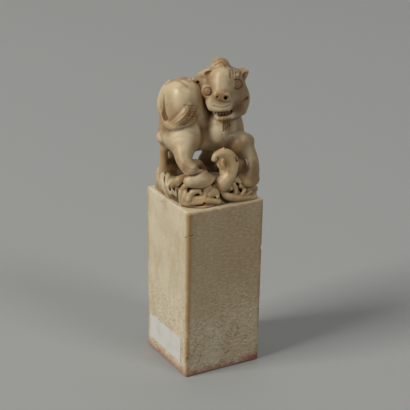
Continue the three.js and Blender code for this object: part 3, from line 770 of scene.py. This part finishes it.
# How far a ridge stands out, then its places and radii.
CRESTS = (
    (0.9, (184, 178.5, 1.3), (180, 180, 1.3), (176.3, 181.8, 1.2), (173.6, 183.8, 0.9),
     (172.3, 186.5, 0.6)),
    (0.45, (168.6, 176, 0.7), (167.6, 184, 0.85), (171.2, 193, 0.7)),
    (0.9, (181.8, 205.5, 0.6), (181.2, 200, 0.75), (181, 194, 0.85), (182, 189.5, 0.9),
     (184.2, 186.6, 0.9), (187, 185.4, 0.8)),
    (0.9, (184.6, 189.5, 0.9), (186, 192.5, 1), (185.2, 197, 1), (184, 200.5, 0.9)),
    (1, (188.5, 200, 0.9), (190.2, 196.7, 0.85), (191.6, 193.6, 0.9), (194, 191.7, 0.9),
     (197, 190.9, 0.75), (199.4, 191.4, 0.6), (200.8, 193.4, 0.45)),
    (0.6, (193.5, 198.6, 1.1), (197, 198.6, 1.1), (200.5, 198, 1)),
    (0.8, (203.6, 198, 0.9), (204.2, 193.5, 1), (205.5, 189.8, 1.1), (208.6, 188, 1)),
    (1, (208, 194.5, 1.2), (210.5, 191.8, 1.2), (213.6, 190.6, 1), (216.2, 191.8, 0.75),
     (217.8, 194.4, 0.55), (217.4, 197, 0.4)),
    (0.9, (211, 194, 1.3), (213.8, 193.6, 1.2)),
    (0.6, (184, 202.8, 0.8), (188, 203, 1), (194, 202, 1), (200, 201.4, 1), (206, 200.2, 1.1),
     (212, 200.8, 1), (218, 201.5, 0.9)),
    (0.25, (190, 206.4, 0.4), (196, 207.1, 0.45), (204, 206.9, 0.45), (212, 205.7, 0.4)),
    (0.8, (214, 187.3, 0.8), (217.5, 185.6, 0.8), (221.5, 184.6, 0.85), (225.6, 184.8, 0.8),
     (229, 186.1, 0.65), (231, 188.8, 0.5)),
    (0.7, (228, 182.3, 0.6), (231, 181.4, 0.65), (234.3, 180.6, 0.7), (237.5, 180.2, 0.6),
     (239.8, 182.2, 0.5)),
    (0.8, (233.3, 184.5, 0.8), (235, 188.5, 0.9), (235.6, 192.3, 0.8)),
    (0.8, (240.3, 186, 0.55), (242.9, 187.6, 0.65), (244, 190.8, 0.6), (242.2, 193.9, 0.5)),
    (0.7, (219.4, 190.3, 0.6), (223, 193.6, 0.9), (228, 196.2, 1.1), (235, 197.8, 1.2), (244, 198, 1.1),
     (254, 197, 1)),
    (0.4, (243.8, 195, 0.5), (247.5, 193.8, 0.5), (251, 191.8, 0.4)),
    (0.4, (246, 180, 0.9), (251, 184.8, 1), (255, 188.5, 0.9)),
)
# Places and radii, then how deep the middle of the cut lies.
HOLLOWS = (
    ((171.8, 181, 0.22, 0.1), (170.2, 188, 0.28, 0.2), (174, 197, 0.25, 0.15)),
    ((173.6, 187, 0.5, 0.5), (174.6, 190, 0.45, 0.4)),
    ((185, 182.4, 0.3, 0.15), (181.8, 185, 0.42, 0.3), (178.4, 187.6, 0.36, 0.2)),
    ((177.3, 190.5, 0.28, 0.25), (178.3, 195, 0.36, 0.45), (179.2, 200, 0.3, 0.25)),
    ((183.2, 191.8, 0.24, 0.25), (183.4, 195, 0.24, 0.25)),
    ((189.3, 188.8, 0.5, 0.55), (192.3, 188, 0.55, 0.6), (195, 188.2, 0.35, 0.4)),
    ((189, 190.8, 0.36, 0.4), (188, 194.4, 0.32, 0.3), (187.4, 198.4, 0.24, 0.2)),
    ((194.6, 195.3, 0.4, 0.5), (197.2, 194.3, 0.42, 0.55), (199, 195.2, 0.38, 0.5)),
    ((202.3, 190.6, 0.36, 0.4), (202.2, 194.4, 0.34, 0.35)),
    ((191.6, 204.4, 0.24, 0.3), (196.5, 205, 0.32, 0.4), (203.2, 205, 0.24, 0.25)),
    ((204.2, 203, 0.34, 0.05), (204.6, 203, 0.27, 0.63)),
    ((212.6, 197.4, 0.42, 0.5), (215.2, 197.6, 0.46, 0.55)),
    ((210, 199, 0.28, 0.2), (206, 198.6, 0.22, 0.15)),
    ((227.2, 188.8, 0.38, 0.4), (226.4, 190.6, 0.34, 0.3)),
    ((231.4, 191.6, 0.34, 0.4), (229.2, 192.8, 0.3, 0.3)),
    ((237.4, 183.5, 0.42, 0.5), (235.5, 183.6, 0.3, 0.25)),
    ((239.4, 188.6, 0.36, 0.45), (240.8, 191.4, 0.42, 0.45)),
    ((216.6, 188.6, 0.26, 0.2), (218.6, 192, 0.34, 0.3), (220.8, 197, 0.4, 0.35),
     (224.8, 201, 0.36, 0.25), (231, 203.3, 0.26, 0.15)),
    ((231, 203.3, 0.24, 0.15), (240, 202.1, 0.22, 0.12), (250, 200.6, 0.2, 0.1)),
    ((183, 202, 0.2, 0.15), (190, 200.8, 0.2, 0.15), (199, 200, 0.2, 0.1)),
)
# Places, their Y and radii.
LEFT_RIDGE = (
    (163.5, 171, 7.5, 0.8), (163, 180, 4.3, 0.9), (165.6, 188.7, 2.6, 0.9), (169.5, 197, 0.8, 0.7),
)
LEFT_HOLLOW = ((166, 172.7, 5.1, 0.25), (164.9, 183.5, 2.1, 0.28), (168.5, 192, 0.2, 0.25))
waves.add(limb(*[at_depth(*spot) for spot in LEFT_RIDGE]), 0.35)
for stand, *places in CRESTS:
    waves.add(limb(*[(*on_water(px, py, r - stand), r) for px, py, r in places]), 0.35)
waves.cut(limb(*[at_depth(*spot) for spot in LEFT_HOLLOW]), 0.35)
for places in HOLLOWS:
    waves.cut(limb(*[(*on_water(px, py, sink), r) for px, py, r, sink in places]), 0.35)

# %% Crests at the sides and the back
SIDE_CRESTS = (
    ((-10, 9.4, 4.6), 1.9, (-0.8, 0.6, 0.2), 1),
    ((-6, 10, 3.6), 1.8, (0, 1, 0.2), -1),
    ((-2.2, 9.8, 5.2), 1.9, (0, 1, 0.2), 1),
    ((2.2, 10, 4), 1.9, (0, 1, 0.2), -1),
    ((6.4, 9.9, 4.4), 1.7, (0.1, 1, 0.2), 1),
    ((9.9, 9.3, 3.8), 1.9, (0.6, 0.8, 0.2), -1),
    ((10.7, 5.4, 4.2), 1.8, (1, 0, 0.2), 1),
    ((10.7, 1.6, 3.6), 1.7, (1, 0, 0.2), -1),
    ((10.9, -2.2, 4), 1.7, (1, 0, 0.2), 1),
    ((11, -5.8, 3.2), 1.5, (1, -0.1, 0.2), -1),
)
for centre, radius, out, side in SIDE_CRESTS:
    crest(centre, radius, out, side)

# %% The tall scroll
SCROLL = (
    (0.6, -9.2, 5.6, 2.3), (2.5, -9.6, 7.8, 1.9), (3.5, -9.8, 10, 1.7), (3.5, -9.9, 12.2, 1.7),
    (2.3, -10, 14.4, 1.65), (0.4, -10.1, 15.5, 1.5), (-1.2, -10.3, 15.7, 1.2),
    (-2.5, -10.4, 15.2, 1), (-3.1, -10.5, 14.4, 0.8),
)
CURL = (
    (-1, -10.3, 14.9, 0.9), (-1.7, -10.6, 13.6, 0.65), (-1.5, -10.8, 12.3, 0.6),
    (-0.6, -10.9, 11.4, 0.6), (0.2, -10.8, 11.4, 0.4),
)
waves.add(limb(*SCROLL), 0.4)
waves.add(limb((1.8, -8, 8, 1.3), (1.4, -7.8, 12.4, 1.2)), 0.6)
waves.add(limb((0, -10.2, 16, 0.9), (0.1, -10.4, 17.2, 0.3)), 0.4)
waves.add(limb((3.6, -9.6, 11.6, 1.3), (4.6, -9.4, 12.6, 0.9), (4.9, -9.3, 13.4, 0.4)), 0.3)
waves.add(limb(*CURL), 0.25)
waves.cut(rod((-2.4, -12.4, 15.1), (-2.2, -9.6, 14), 0.45), 0.2)
waves.cut(limb((-0.3, -12.6, 13.6, 0.5), (0.1, -12.4, 12.4, 0.6), (-0.2, -12, 11.9, 0.4)), 0.3)
waves.cut(limb((-0.5, -11.2, 13.2, 0.55), (-0.2, -11, 12.4, 0.6)), 0.3)
waves.scribe(blade(((3.4, -11.8, 14.2), (3.9, -11.6, 13)), VIEW, 0.5), 0.7, 0.3)
np.maximum(waves.field, -0.6 - waves.axes[2], out=waves.field)

# %% [markdown]
# ## The beast
# It walks to the right with its rump high, and turns its head back over its near side. Its
# body and its head are carved on two grids, the head's the finer. The masses come first, rump,
# trunk, neck and legs, then the tail, and last the scribed lines of hair. The front lips and
# teeth are drawn as the camera sees them: across, down, Y in millimetres and a radius.

# %% Body
body = Carving((-13.6, -12.9, 3.4), (13.6, 11.4, 36.8), BODY_STEP, whole)
body.add(pillow((-6.2, 3, 28.4), (5.9, 6.3, 7.1), 6, 2.6))
body.add(rod((-6, 3.4, 25), (5, 1.6, 18), 6, 5), 3)
body.add(egg((5.6, 1, 18.4), (6.4, 7.2, 5.8)), 3)
body.add(egg((1.9, -3.2, 20.6), (2.7, 3, 4.4)), 1.4)
body.add(rod((-4.6, 0.6, 17.6), (1.4, 0.6, 17.4), 3.9), 1.5)
body.add(rod((6, 0.2, 19.5), (6.6, 0.6, 29), 5.2, 4.6), 3)

# %% Legs
body.add(egg((-7.9, -0.2, 19.2), (4.4, 5, 7)), 1.6)
body.add(egg((-6.2, -2.6, 19.2), (2.4, 2.6, 4), 20), 1.2)
body.add(ball((-10.9, 1, 17.6), 2), 1.4)
NEAR_HIND = (
    (-8.4, -1.8, 18, 4), (-9.3, -3.6, 15.9, 3.1), (-10.2, -5.3, 14, 2.4), (-10.1, -6.8, 12.6, 2.15),
    (-9.2, -7.8, 11.2, 2.3),
)
body.add(limb(*NEAR_HIND), 1.2)
body.add(egg((-7.6, 5.6, 19), (4.6, 5, 6)), 2.5)
body.add(ball((-11, 6, 17.4), 2), 0.7)
FAR_SHANK = ((-9.2, 6.2, 16, 2.2), (-10.6, 6.2, 13, 1.3), (-10.4, 6.2, 10, 1.3), (-10, 6.4, 8, 1.6))
body.add(limb(*FAR_SHANK), 0.8)
body.add(egg((8.9, -5, 15.7), (3.8, 4.3, 3.5)), 1.2)
body.add(ball((11.1, -6, 16.6), 1.7), 1)
body.add(ball((8.2, -6, 16.9), 1.9), 1)
NEAR_FORE = (
    (9.4, -6.2, 14.8, 2.9), (11, -7.8, 12.6, 1.9), (11.3, -9, 10.4, 1.8), (10.9, -9.6, 8.6, 2.1),
    (10, -9.6, 7, 2.6),
)
body.add(limb(*NEAR_FORE), 1)
body.add(egg((6, 6, 15.4), (3.4, 3.2, 4.4)), 2)
body.add(limb((6, 6.2, 13.6, 2.6), (4.9, 6.8, 10.6, 2), (5.1, 7, 8.4, 2.1)), 1)


def hoof(h):
    """A hoof: a wedge, flat below, high at the front of the pastern and low at the heel."""
    cos, sin = math.cos(math.radians(h.turn)), math.sin(math.radians(h.turn))

    def spot(ahead, up, r):
        return (h.x + cos * ahead * h.length, h.y + sin * ahead * h.length, h.z + up, r)

    body.add(egg((h.x, h.y, h.z + 1), (h.length, h.width, 2.3), h.turn), 0.5)
    heel, pastern = spot(-0.5, 1.9, 0.62 * h.width), spot(0.05, 2.4, 0.6 * h.width)
    body.add(limb(heel, pastern, spot(0.28, 3.2, 0.3 * h.width)), 0.7)


for h in HOOVES:
    hoof(h)
body.add(limb((-6.4, -8.7, 9.6, 1.3), (-5.2, -8.6, 9.9, 1)), 0.4)
TOE_FACE = (0.62, -0.47, 0.63)
body.cut(beyond((-5.5, -9.2, 11.4), TOE_FACE, (-9.5, -13.5, 5.5), (0.5, -4.5, 13.5)), 0.4)
SHOULDER_FACE = (0.26, -1, 0.31)
NECK_FACE = (0.33, -0.95, 0.08)
body.cut(beyond((9, -8.9, 16), SHOULDER_FACE, (4, -14, 3), (14, -3, 20)), 0.7)
body.cut(beyond((4.2, -6.3, 21), NECK_FACE, (3, -13, 19.6), (14, 0, 25)), 1.4)
body.worked[:] = 0

# %% Tail
TAIL = (
    (-9.4, 5, 33.9, 0.7), (-10.9, 5.8, 31.8, 0.9), (-11.9, 5.9, 29, 1), (-12.2, 5, 26.4, 1.05),
    (-12.2, 3, 24.2, 1.1), (-12, 0.6, 22.9, 1.2), (-11.4, -1.4, 23.2, 1.4),
    (-10.5, -2.8, 24.5, 1.7), (-9.2, -3.4, 26.4, 1.5), (-8, -3.2, 28.2, 1), (-7.2, -2.8, 29.4, 0.6),
)
body.add(limb(*TAIL), 0.6)
LOCKS = (
    ((-10.6, -2.6, 24.2, 1.1), (-8.6, -3.7, 25.4, 1.1), (-7, -3.6, 26.8, 0.8), (-6.2, -3.2, 28.2, 0.5)),
    ((-10.4, -2.8, 23.9, 0.9), (-8.2, -4, 24.4, 0.9), (-6.2, -3.8, 25, 0.6)),
)
for points in LOCKS:
    body.add(limb(*points), 0.6)

# %% Head
head = Carving((-5.6, -10.6, 16.4), (13.8, 8.6, 43.2), HEAD_STEP, whole)
head.add(egg((5.3, -1.3, 33), (6, 6.2, 5.8), -45), 1.5)
head.add(egg((8.2, -2.6, 28.9), (4.4, 4.6, 5.2), -45), 1.5)
head.add(ball((1.6, -1.8, 30.4), 3), 1.2)
head.add(rod((3.4, -3.4, 36), (1.4, -5.6, 32), 3.4, 2.5), 1.4)
head.add(limb((0.2, -4.2, 29.4, 2.4), (2.2, -5.3, 29.6, 2.6), (5, -5.6, 30, 2.3)), 1.2)
UPPER_LIP = ((-0.7, -4.9, 28.2, 1.3), (1.4, -6.5, 28.1, 1.5), (4.6, -6.5, 28.3, 1.5), (7.4, -5.6, 29, 1.8))
JAW = ((1.6, -4.8, 25.1, 1.4), (2.9, -5.8, 24.7, 2), (5.2, -5.4, 25, 2.4), (7.6, -3.8, 26.2, 2.7))
head.add(limb(*UPPER_LIP), 0.6)
head.add(limb(*JAW), 0.8)
head.add(egg((5, -2.6, 25.2), (4.6, 3.6, 3.6), -25), 1.2)
head.add(limb((4.6, -0.7, 37.2, 3), (4.2, -0.7, 38.5, 2.8), (3.9, -0.8, 39.5, 1.9)), 0.5)
head.add(limb((2.9, -5.4, 23.4, 2), (3.1, -5.9, 20.8, 1.4), (3.5, -6, 18.2, 0.7)), 0.6)
head.add(limb((6.4, -4.4, 24, 2.6), (6.2, -4.6, 20.6, 2)), 1.4)
head.add(limb((8.6, -4.7, 27.4, 2.3), (8.4, -4.5, 24.8, 2.2), (7.4, -4.6, 22.8, 1.9)), 1)
head.cut(beyond((4.2, -6.3, 21), NECK_FACE, (3, -13, 17.6), (14, 0, 24.4)), 1.4)
head.worked[:] = 0

# %% Mouth and teeth
LIPS = (
    (210.2, 112.8, -5.2, 0.5), (213, 114, -6, 0.65), (216.5, 114.6, -6.8, 0.8),
    (220.5, 114.8, -7.4, 0.85), (224.5, 114.4, -7.8, 0.85), (228, 113.6, -7.9, 0.75),
    (230.8, 112.3, -7.8, 0.6),
)
CHEEK_LIPS = (
    (4.5, -8, 27.5, 0.6), (5.5, -8, 28.1, 0.6), (6.9, -7.7, 28.1, 0.6), (7.7, -7.7, 28.9, 0.55),
    (9, -7.1, 29.5, 0.5), (10.3, -6, 29.8, 0.45),
)
TEETH = (
    (214, 112.8, -5.9), (217, 113.2, -6.4), (220, 113.4, -6.9), (223, 113.2, -7.2),
    (226, 112.7, -7.4), (229, 111.7, -7.4),
)
CHEEK_TEETH = ((5.2, -7.6, 27.4), (6.5, -7.4, 27.6), (7.6, -7.2, 28.3))
gape = [at_depth(*spot) for spot in LIPS]
head.cut(limb(*gape, *CHEEK_LIPS), 0.15)
head.cut(limb(*[(x + 0.5, y + 0.9, z, r) for x, y, z, r in gape]), 0.15)
head.add(limb((0.6, -6.3, 24.9, 0.6), (2.5, -7.5, 25, 0.7), (4.8, -7.2, 25.4, 0.7)), 0.4)
for place in (*[at_depth(*spot) for spot in TEETH], *CHEEK_TEETH):
    head.add(egg(place, (0.24, 0.3, 0.42)), 0.08)

# %% Ears, locks and mane
head.add(limb((9, -1.6, 36.2, 1.3), (10.8, -1.8, 36.8, 0.9), (12, -2.2, 36.5, 0.7)), 0.5)
head.add(limb((9.4, -3, 34.6, 1.6), (10.9, -2.6, 35.6, 1.2), (12, -2.4, 36.4, 0.7)), 0.5)
head.cut(limb((10, -4.4, 35.2, 0.5), (10.7, -4, 35.9, 0.75), (11.4, -3.5, 36.4, 0.5)), 0.3)
LEFT_EAR = ((2.6, 0.6, 37.2, 1.4), (0.6, 1.3, 36.3, 1.5), (-0.9, 1.6, 35.7, 1.4), (-2.2, 1.4, 34.4, 1.4))
head.add(limb(*LEFT_EAR), 0.5)
head.add(limb((-0.9, -0.6, 34.2, 1.4), (-2.4, -0.1, 35, 1), (-3.8, 0.6, 35.4, 0.7)), 0.4)
head.add(limb((0.4, 0.6, 33.6, 2.4), (3, 2.4, 31, 3)), 1)
head.cut(rod((-3.9, -2.2, 35), (-3, -0.2, 34.7), 0.5), 0.2)
head.cut(limb((-0.9, -0.6, 36.7, 0.4), (0.1, 0, 36.9, 0.55), (1, -0.2, 37.3, 0.35)), 0.2)
for i, z in enumerate((35, 31, 27)):
    head.add(limb((7.6, 4.2, z, 1.8), (9.6 - 0.3 * i, 6, z - 2.2, 1.3), (8.4, 7, z - 4.4, 0.7)), 0.6)

# %% Eyes and nose
EYES = (
    ((-1, -2.6, 32.3), 1.5, 1.1),
    ((7.5, -4.9, 33.9), 1.9, 1.35),
)
head.add(ball((-0.4, -1.4, 32), 2.4), 1)
for centre, radius, rim in EYES:
    head.add(ball(centre, radius), 1)
    head.scribe(pipe(centre, FRONT, rim, 0.5, 3), 0.15 * radius + 0.04, 0.15)
    head.scribe(pipe(centre, FRONT, 0.5 * rim, 0.26, 3), 0.18, 0.1)
    head.cut(rod(centre, Vector(centre) + 3 * Vector(FRONT), 0.16), 0.08)
BROW = ((5, -5.6, 35.8, 0.3), (5.9, -5.8, 36.7, 0.45), (7.4, -5.4, 36.8, 0.45), (8.9, -4.9, 35.8, 0.4))
head.add(limb(*BROW), 0.4)
head.add(ball((-0.1, -6.6, 32.3), 1.3), 0.5)
head.add(ball((2.3, -7.3, 31.6), 1.3), 0.5)
head.cut(limb((1, -9, 32, 0.65), (2.1, -8.7, 31.4, 0.75)), 0.3)
head.cut(rod((1.4, -9.4, 31.9), (2.3, -6.8, 31.1), 0.55), 0.25)
head.cut(limb((-1.3, -8.2, 33.5, 0.8), (-0.6, -8.5, 32.4, 0.8)), 0.4)
head.cut(rod((-1, -8.6, 32.2), (-0.2, -6.4, 31.7), 0.3), 0.2)

# %% Scribed lines of the body
TAIL_GROOVE = (
    (-12.3, 3.9, 31, 0.3), (-12.5, 3.2, 28.8, 0.5), (-12.6, 2.7, 27, 0.65),
    (-12.6, 2.4, 25.8, 0.75), (-12.5, 1.6, 24.7, 0.7),
)
body.cut(limb(*TAIL_GROOVE), 0.5)
TUFT = (
    ((-12.2, -1.6, 23.9), (-10.9, -4, 26.2), (-9.2, -5, 28.4), (-8.2, -4.9, 29.6)),
    ((-11.9, -2.6, 23.7), (-10.2, -4.6, 25.6), (-8.6, -5.2, 27.8), (-7.6, -5, 29.3)),
    ((-11.4, -3.6, 23.7), (-9.6, -5, 25.4), (-8, -5.3, 27.2), (-7, -5, 28.6)),
    ((-10.8, -4.2, 23.9), (-9, -5.1, 25), (-7.2, -5.2, 26.4), (-6.4, -4.8, 27.6)),
    ((-10.2, -4.5, 24), (-8.4, -5, 24.6), (-6.6, -4.9, 25.4)),
)
for points in TUFT:
    body.scribe(blade(points, FRONT, 0.36), 0.16, 0.2)
for k in range(5):
    z = 29.6 - 0.75 * k
    points = ((-9.2 + 0.2 * k, -3.6, z), (-8, -4.6, z - 0.1), (-6.6, -4.4, z - 0.5))
    body.scribe(blade(points, FRONT, 0.3), 0.13, 0.15)
for points in (
    ((-10.6, 5.2, 33.7), (-8.9, 4, 34.9), (-7.8, 1.6, 35.2), (-6.7, -1, 34.1)),
    ((-9.6, 4.6, 34.4), (-7.6, 3.6, 35.4), (-5.6, 2.2, 35.2), (-4.4, 1.4, 34.6)),
    ((-8.6, 5.6, 34.9), (-6.6, 4.8, 35.6), (-4.2, 4, 35)),
):
    body.scribe(blade(points, FRONT, 0.4, 2.4), 0.14, 0.25)
FETLOCK = ((-11.3, -7.2, 12.9), (-10.3, -8.9, 12), (-9, -9.6, 11.9), (-7.6, -9, 12.7))
for drop in (0, 0.8, 1.5):
    points = [(x, y, z - drop) for x, y, z in FETLOCK]
    body.scribe(blade(points, FRONT, 0.34, 2), 0.14, 0.2)
HOOF_RIM = ((-11.9, -8.6, 9.9), (-9.6, -10.4, 10.4), (-7.2, -10.8, 11.2), (-5.4, -9.8, 11.4))
body.scribe(blade(HOOF_RIM, FRONT, 0.45, 2.4), 0.25, 0.25)

# %% Scribed lines of the head
for k in range(4):
    x = 1.5 + 0.68 * k
    points = ((x, -8, 25), (x + 0.25, -7.4, 22.6), (x + 0.6, -6.6, 20.8 + 0.4 * k))
    head.scribe(blade(points, FRONT, 0.34, 2.4), 0.22, 0.15)
WRINKLES = (
    ((2, -1, 40.3), (2.6, -1.8, 41), (3.7, -1.8, 41.3), (4.9, -2.2, 40.6), (5.1, -3, 39.6)),
    ((1.7, -2, 39.6), (2.8, -2.8, 40.4), (3.9, -3, 40.2), (4.2, -3.8, 39.2)),
    ((5, -5.1, 38.6), (4.4, -6.2, 37.6), (4.2, -6.5, 36.9)),
    ((5.8, -4.8, 38.3), (5.7, -5.6, 37.4)),
    ((0.2, -7.6, 30.6), (1.8, -8.2, 30.2), (3.4, -8, 30.1)),
    ((-1.1, -6.3, 29), (0.1, -7.5, 28.7), (1.8, -8, 28.6), (3.3, -8, 29)),
    ((6.2, -6.5, 36.5), (6.4, -5.9, 37.1), (6.8, -5.2, 37.7)),
    ((7.6, -6.1, 36.2), (8.4, -4.9, 36.6), (9.2, -3.8, 36.9)),
    ((8.9, -5.7, 35.4), (9.8, -4.6, 35.7), (10.6, -3.5, 36)),
)
for points in WRINKLES:
    head.scribe(blade(points, FRONT, 0.32, 2), 0.16, 0.15)

# %% The three pieces
for name, carving, node in (
    ("carved_waves", waves, "wave_base"),
    ("carved_body", body, "beast"),
    ("carved_head", head, "beast"),
):
    piece = carved_mesh(name, carving, BAR_TOP, carved_stone)
    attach(piece, "root")
    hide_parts(node)

# %% [markdown]
# ## The bar
# The bar is carved on a grid as well, so that its edges wear and chip as stone does. Its foot
# is the printing face: a raised frame round four square spirals.

# %% The bar's own form
BAR_STEP = 0.32
HALF_DEPTH_FOOT = 12.5
EDGE = 0.45
FACE_BORDER, FRET_LINE, ENGRAVED = 1.5, 1.3, 0.8


def bar_form(x, y, z):
    half_depth = HALF_DEPTH_FOOT + (HALF_DEPTH_TOP - HALF_DEPTH_FOOT) * z / BAR_TOP
    q = [np.abs(x) - HALF_WIDTH, np.abs(y) - half_depth, np.abs(z - BAR_TOP / 2) - BAR_TOP / 2]
    outside = sum(np.maximum(v + EDGE, 0) ** 2 for v in q)
    inside = np.minimum(np.maximum(np.maximum(q[0], q[1]), q[2]) + EDGE, 0)
    return np.sqrt(outside) + inside - EDGE


def block(x0, x1, y0, y1, z0, z1):
    """A plain rectangular form, for engraving."""

    def at(x, y, z):
        sides = (np.maximum(x0 - x, x - x1), np.maximum(y0 - y, y - y1), np.maximum(z0 - z, z - z1))
        return np.maximum(np.maximum(sides[0], sides[1]), sides[2])

    return boxed(at, [x0, y0, z0], [x1, y1, z1])


# %% The printing face
bar = Carving((-13.2, -13.5, -0.7), (13.2, 13.5, 54.2), BAR_STEP)
bar.add(boxed(bar_form, [-13, -13, 0], [13, 13, BAR_TOP]))
half = HALF_WIDTH - FACE_BORDER, HALF_DEPTH_FOOT - FACE_BORDER
lines = []
TURNS = ((0, 0, 7, 0), (7, 0, 7, 7), (7, 7, 2, 7), (2, 7, 2, 3), (2, 3, 5, 3))
for sx in (-1, 1):
    for sy in (-1, 1):
        for a, b, c, d in TURNS:
            x = [sx * (half[0] / 2 + (v - 3.5) * FRET_LINE * 0.86) for v in (a, c)]
            y = [sy * (half[1] / 2 + (v - 3.5) * FRET_LINE * 0.86) for v in (b, d)]
            h = FRET_LINE / 2
            lines.append(block(min(x) - h, max(x) + h, min(y) - h, max(y) + h, -2, 3))


def engraved(x, y, z):
    hollow = block(-half[0], half[0], -half[1], half[1], -1, ENGRAVED).at(x, y, z)
    for line in lines:
        hollow = np.maximum(hollow, -line.at(x, y, z))
    return hollow


bar.cut(boxed(engraved, (-half[0], -half[1], -1), (*half, ENGRAVED)), 0.15)

# %% [markdown]
# Chips sit along the edges, each a small ball cut that only just bites, and one larger chip
# on the front right edge. One short crack runs in from the front left edge.

# %% Wear of the edges
random = np.random.default_rng(7)
for n in range(90):
    radius = random.uniform(0.5, 1.3)
    bite = random.uniform(0.05, 0.22)
    side = random.integers(0, 12)
    along = random.uniform(-1, 1)
    sx, sy = (-1) ** (side % 2), (-1) ** (side // 2 % 2)
    depth = HALF_DEPTH_FOOT + 0.25 * (1 + along)
    if side < 4:
        edge = (sx * HALF_WIDTH, sy * depth, BAR_TOP * (1 + along) / 2)
        out = (sx, sy, 0)
    elif side < 8:
        half_depth, height = (HALF_DEPTH_TOP, BAR_TOP) if sx > 0 else (HALF_DEPTH_FOOT, 0)
        edge = (along * HALF_WIDTH, sy * half_depth, height)
        out = (0, sy, sx)
    else:
        edge = (sx * HALF_WIDTH, along * HALF_DEPTH_FOOT, BAR_TOP if sy > 0 else 0)
        out = (sx, 0, sy)
    away = radius - bite - 0.1
    bar.cut(ball([e + o * away / math.sqrt(2) for e, o in zip(edge, out)], radius), 0.2)
CRACK = ((-12.9, -11, 45.3), (-12.8, -12.8, 46.2), (-12, -13.1, 46.4))
bar.scribe(blade(CRACK, (0.7, 0.7, 0), 0.2), 0.3)
bar.cut(ball((13.4, -12.6, 38), 1), 0.3)

bar_piece = carved_mesh("stone_bar", bar, 0, bar_stone)
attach(bar_piece, "root")
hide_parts("seal_block")

# %% [markdown]
# ## The label
# A strip of plain paper is pasted low on the left face. Its edges were cut by hand, so they
# wander, and two corners have let go of the stone a little.

# %% Label
paper = Finish("paper", Roughness=0.85)
fibre = paper.noise(2600, 3, 0.6, (0.4, 1, 1))
age = paper.noise(160, 4)
sheet_colour = paper.mix(colour(207, 204, 197), colour(186, 178, 160), age.over(0.45, 0.75) * 0.5)
paper.set("Base Color", paper.mix(sheet_colour, colour(168, 158, 138), fibre.over(0.6, 0.8) * 0.35))
paper.bump(fibre + age * 0.6, 0.35, 0.00005)

THICKNESS, TRIM = 0.12, 0.05
label_low, label_high = millimetres("paper_label")
middle = [(a + b) / 2 for a, b in zip(label_low, label_high)]
reach = [(b - a) / 2 - TRIM for a, b in zip(label_low, label_high)]
COLUMNS, ROWS = 80, 32
u, v = np.meshgrid(np.linspace(-1, 1, COLUMNS), np.linspace(-1, 1, ROWS), indexing="ij")
wander = 0.05 * np.sin(7 * v + 1) + 0.04 * np.sin(17 * u)
y = middle[1] + u * reach[1] + wander * np.abs(u) ** 8
z = middle[2] + v * reach[2] + 0.06 * np.sin(9 * u + 2) * np.abs(v) ** 8
lift = 0.22 * np.clip(u + v - 1.55, 0, 1) ** 1.5 + 0.3 * np.clip(-u - v - 1.6, 0, 1) ** 1.5
back = -HALF_WIDTH - 0.01 - lift
places = [np.stack([x, y, z], -1).reshape(-1, 3) for x in (back - THICKNESS, back)]
index = np.arange(COLUMNS * ROWS).reshape(COLUMNS, ROWS)
front = np.stack([index[:-1, :-1], index[:-1, 1:], index[1:, 1:], index[1:, :-1]], -1).reshape(-1, 4)
rim = np.concatenate([index[:-1, 0], index[-1, :-1], index[:0:-1, -1], index[0, :0:-1]])
around = np.roll(rim, -1)
count = COLUMNS * ROWS
faces = [*front.tolist(), *(front[:, ::-1] + count).tolist()]
faces += np.stack([rim, around, around + count, rim + count], -1).tolist()
mesh = bpy.data.meshes.new("label")
mesh.from_pydata((np.concatenate(places) * MM).tolist(), [], faces)
mesh.materials.append(paper.material)
label = placed("label", mesh)
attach(label, "root")
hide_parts("paper_label")
print("label", len(faces), "faces")

# %% [markdown]
# ## Floor, lights and background
# The floor is a pale sheet that sweeps up behind the seal. One large soft lamp stands to the
# left and throws a soft shadow to the right. A weak one opens the dark side, and a broad one
# overhead evens the floor.

# %% Floor
SWEEP_START = 0.9
SWEEP_RADIUS = 0.6
floor_finish = Finish("floor", Roughness=0.9)
floor_finish.set("Base Color", colour(158, 159, 156))
profile = [(-1.5, 0), (SWEEP_START, 0)]
for k in range(1, 25):
    angle = math.radians(90 * k / 24)
    profile.append((SWEEP_START + SWEEP_RADIUS * math.sin(angle), SWEEP_RADIUS * (1 - math.cos(angle))))
profile.append((SWEEP_START + SWEEP_RADIUS, 2.5))
away = Vector((-CAMERA_BACK[0], -CAMERA_BACK[1], 0)).normalized()
across = Vector((away.y, -away.x, 0))
points = [away * d + across * w + Vector((0, 0, h)) for d, h in profile for w in (-2.5, 2.5)]
faces = [(2 * k, 2 * k + 1, 2 * k + 3, 2 * k + 2) for k in range(len(profile) - 1)]
sheet = bpy.data.meshes.new("floor")
sheet.from_pydata(points, [], faces)
sheet.polygons.foreach_set("use_smooth", np.ones(len(faces), bool))
sheet.materials.append(floor_finish.material)
floor = placed("floor", sheet)


# %% Lamps and world
def lamp(name, toward, distance, size, power, tint=(1, 1, 1)):
    """A square lamp that stands toward one direction and faces the seal."""
    light = bpy.data.lights.new(name, "AREA")
    light.size = size
    light.energy = power
    light.color = tint
    made = placed(name, light)
    direction = Vector(toward).normalized()
    made.location = direction * distance + Vector((0, 0, 0.05))
    made.rotation_euler = direction.to_track_quat("Z", "Y").to_euler()


lamp("key", (-0.787, 0.027, 0.616), 3, 1.2, 73, (1, 0.985, 0.96))
lamp("fill", (0.278, -0.689, 0.669), 3, 0.8, 17, (1, 0.99, 0.97))
lamp("top", (0.15, 0.1, 1), 3, 2.4, 17, (0.98, 0.99, 1))
world = bpy.data.worlds.new("world")
world.use_nodes = True
world.node_tree.nodes["Background"].inputs["Color"].default_value = (0.9, 0.95, 1, 1)
world.node_tree.nodes["Background"].inputs["Strength"].default_value = 0.1
bpy.context.scene.world = world
bpy.context.scene.view_settings.view_transform = "Standard"
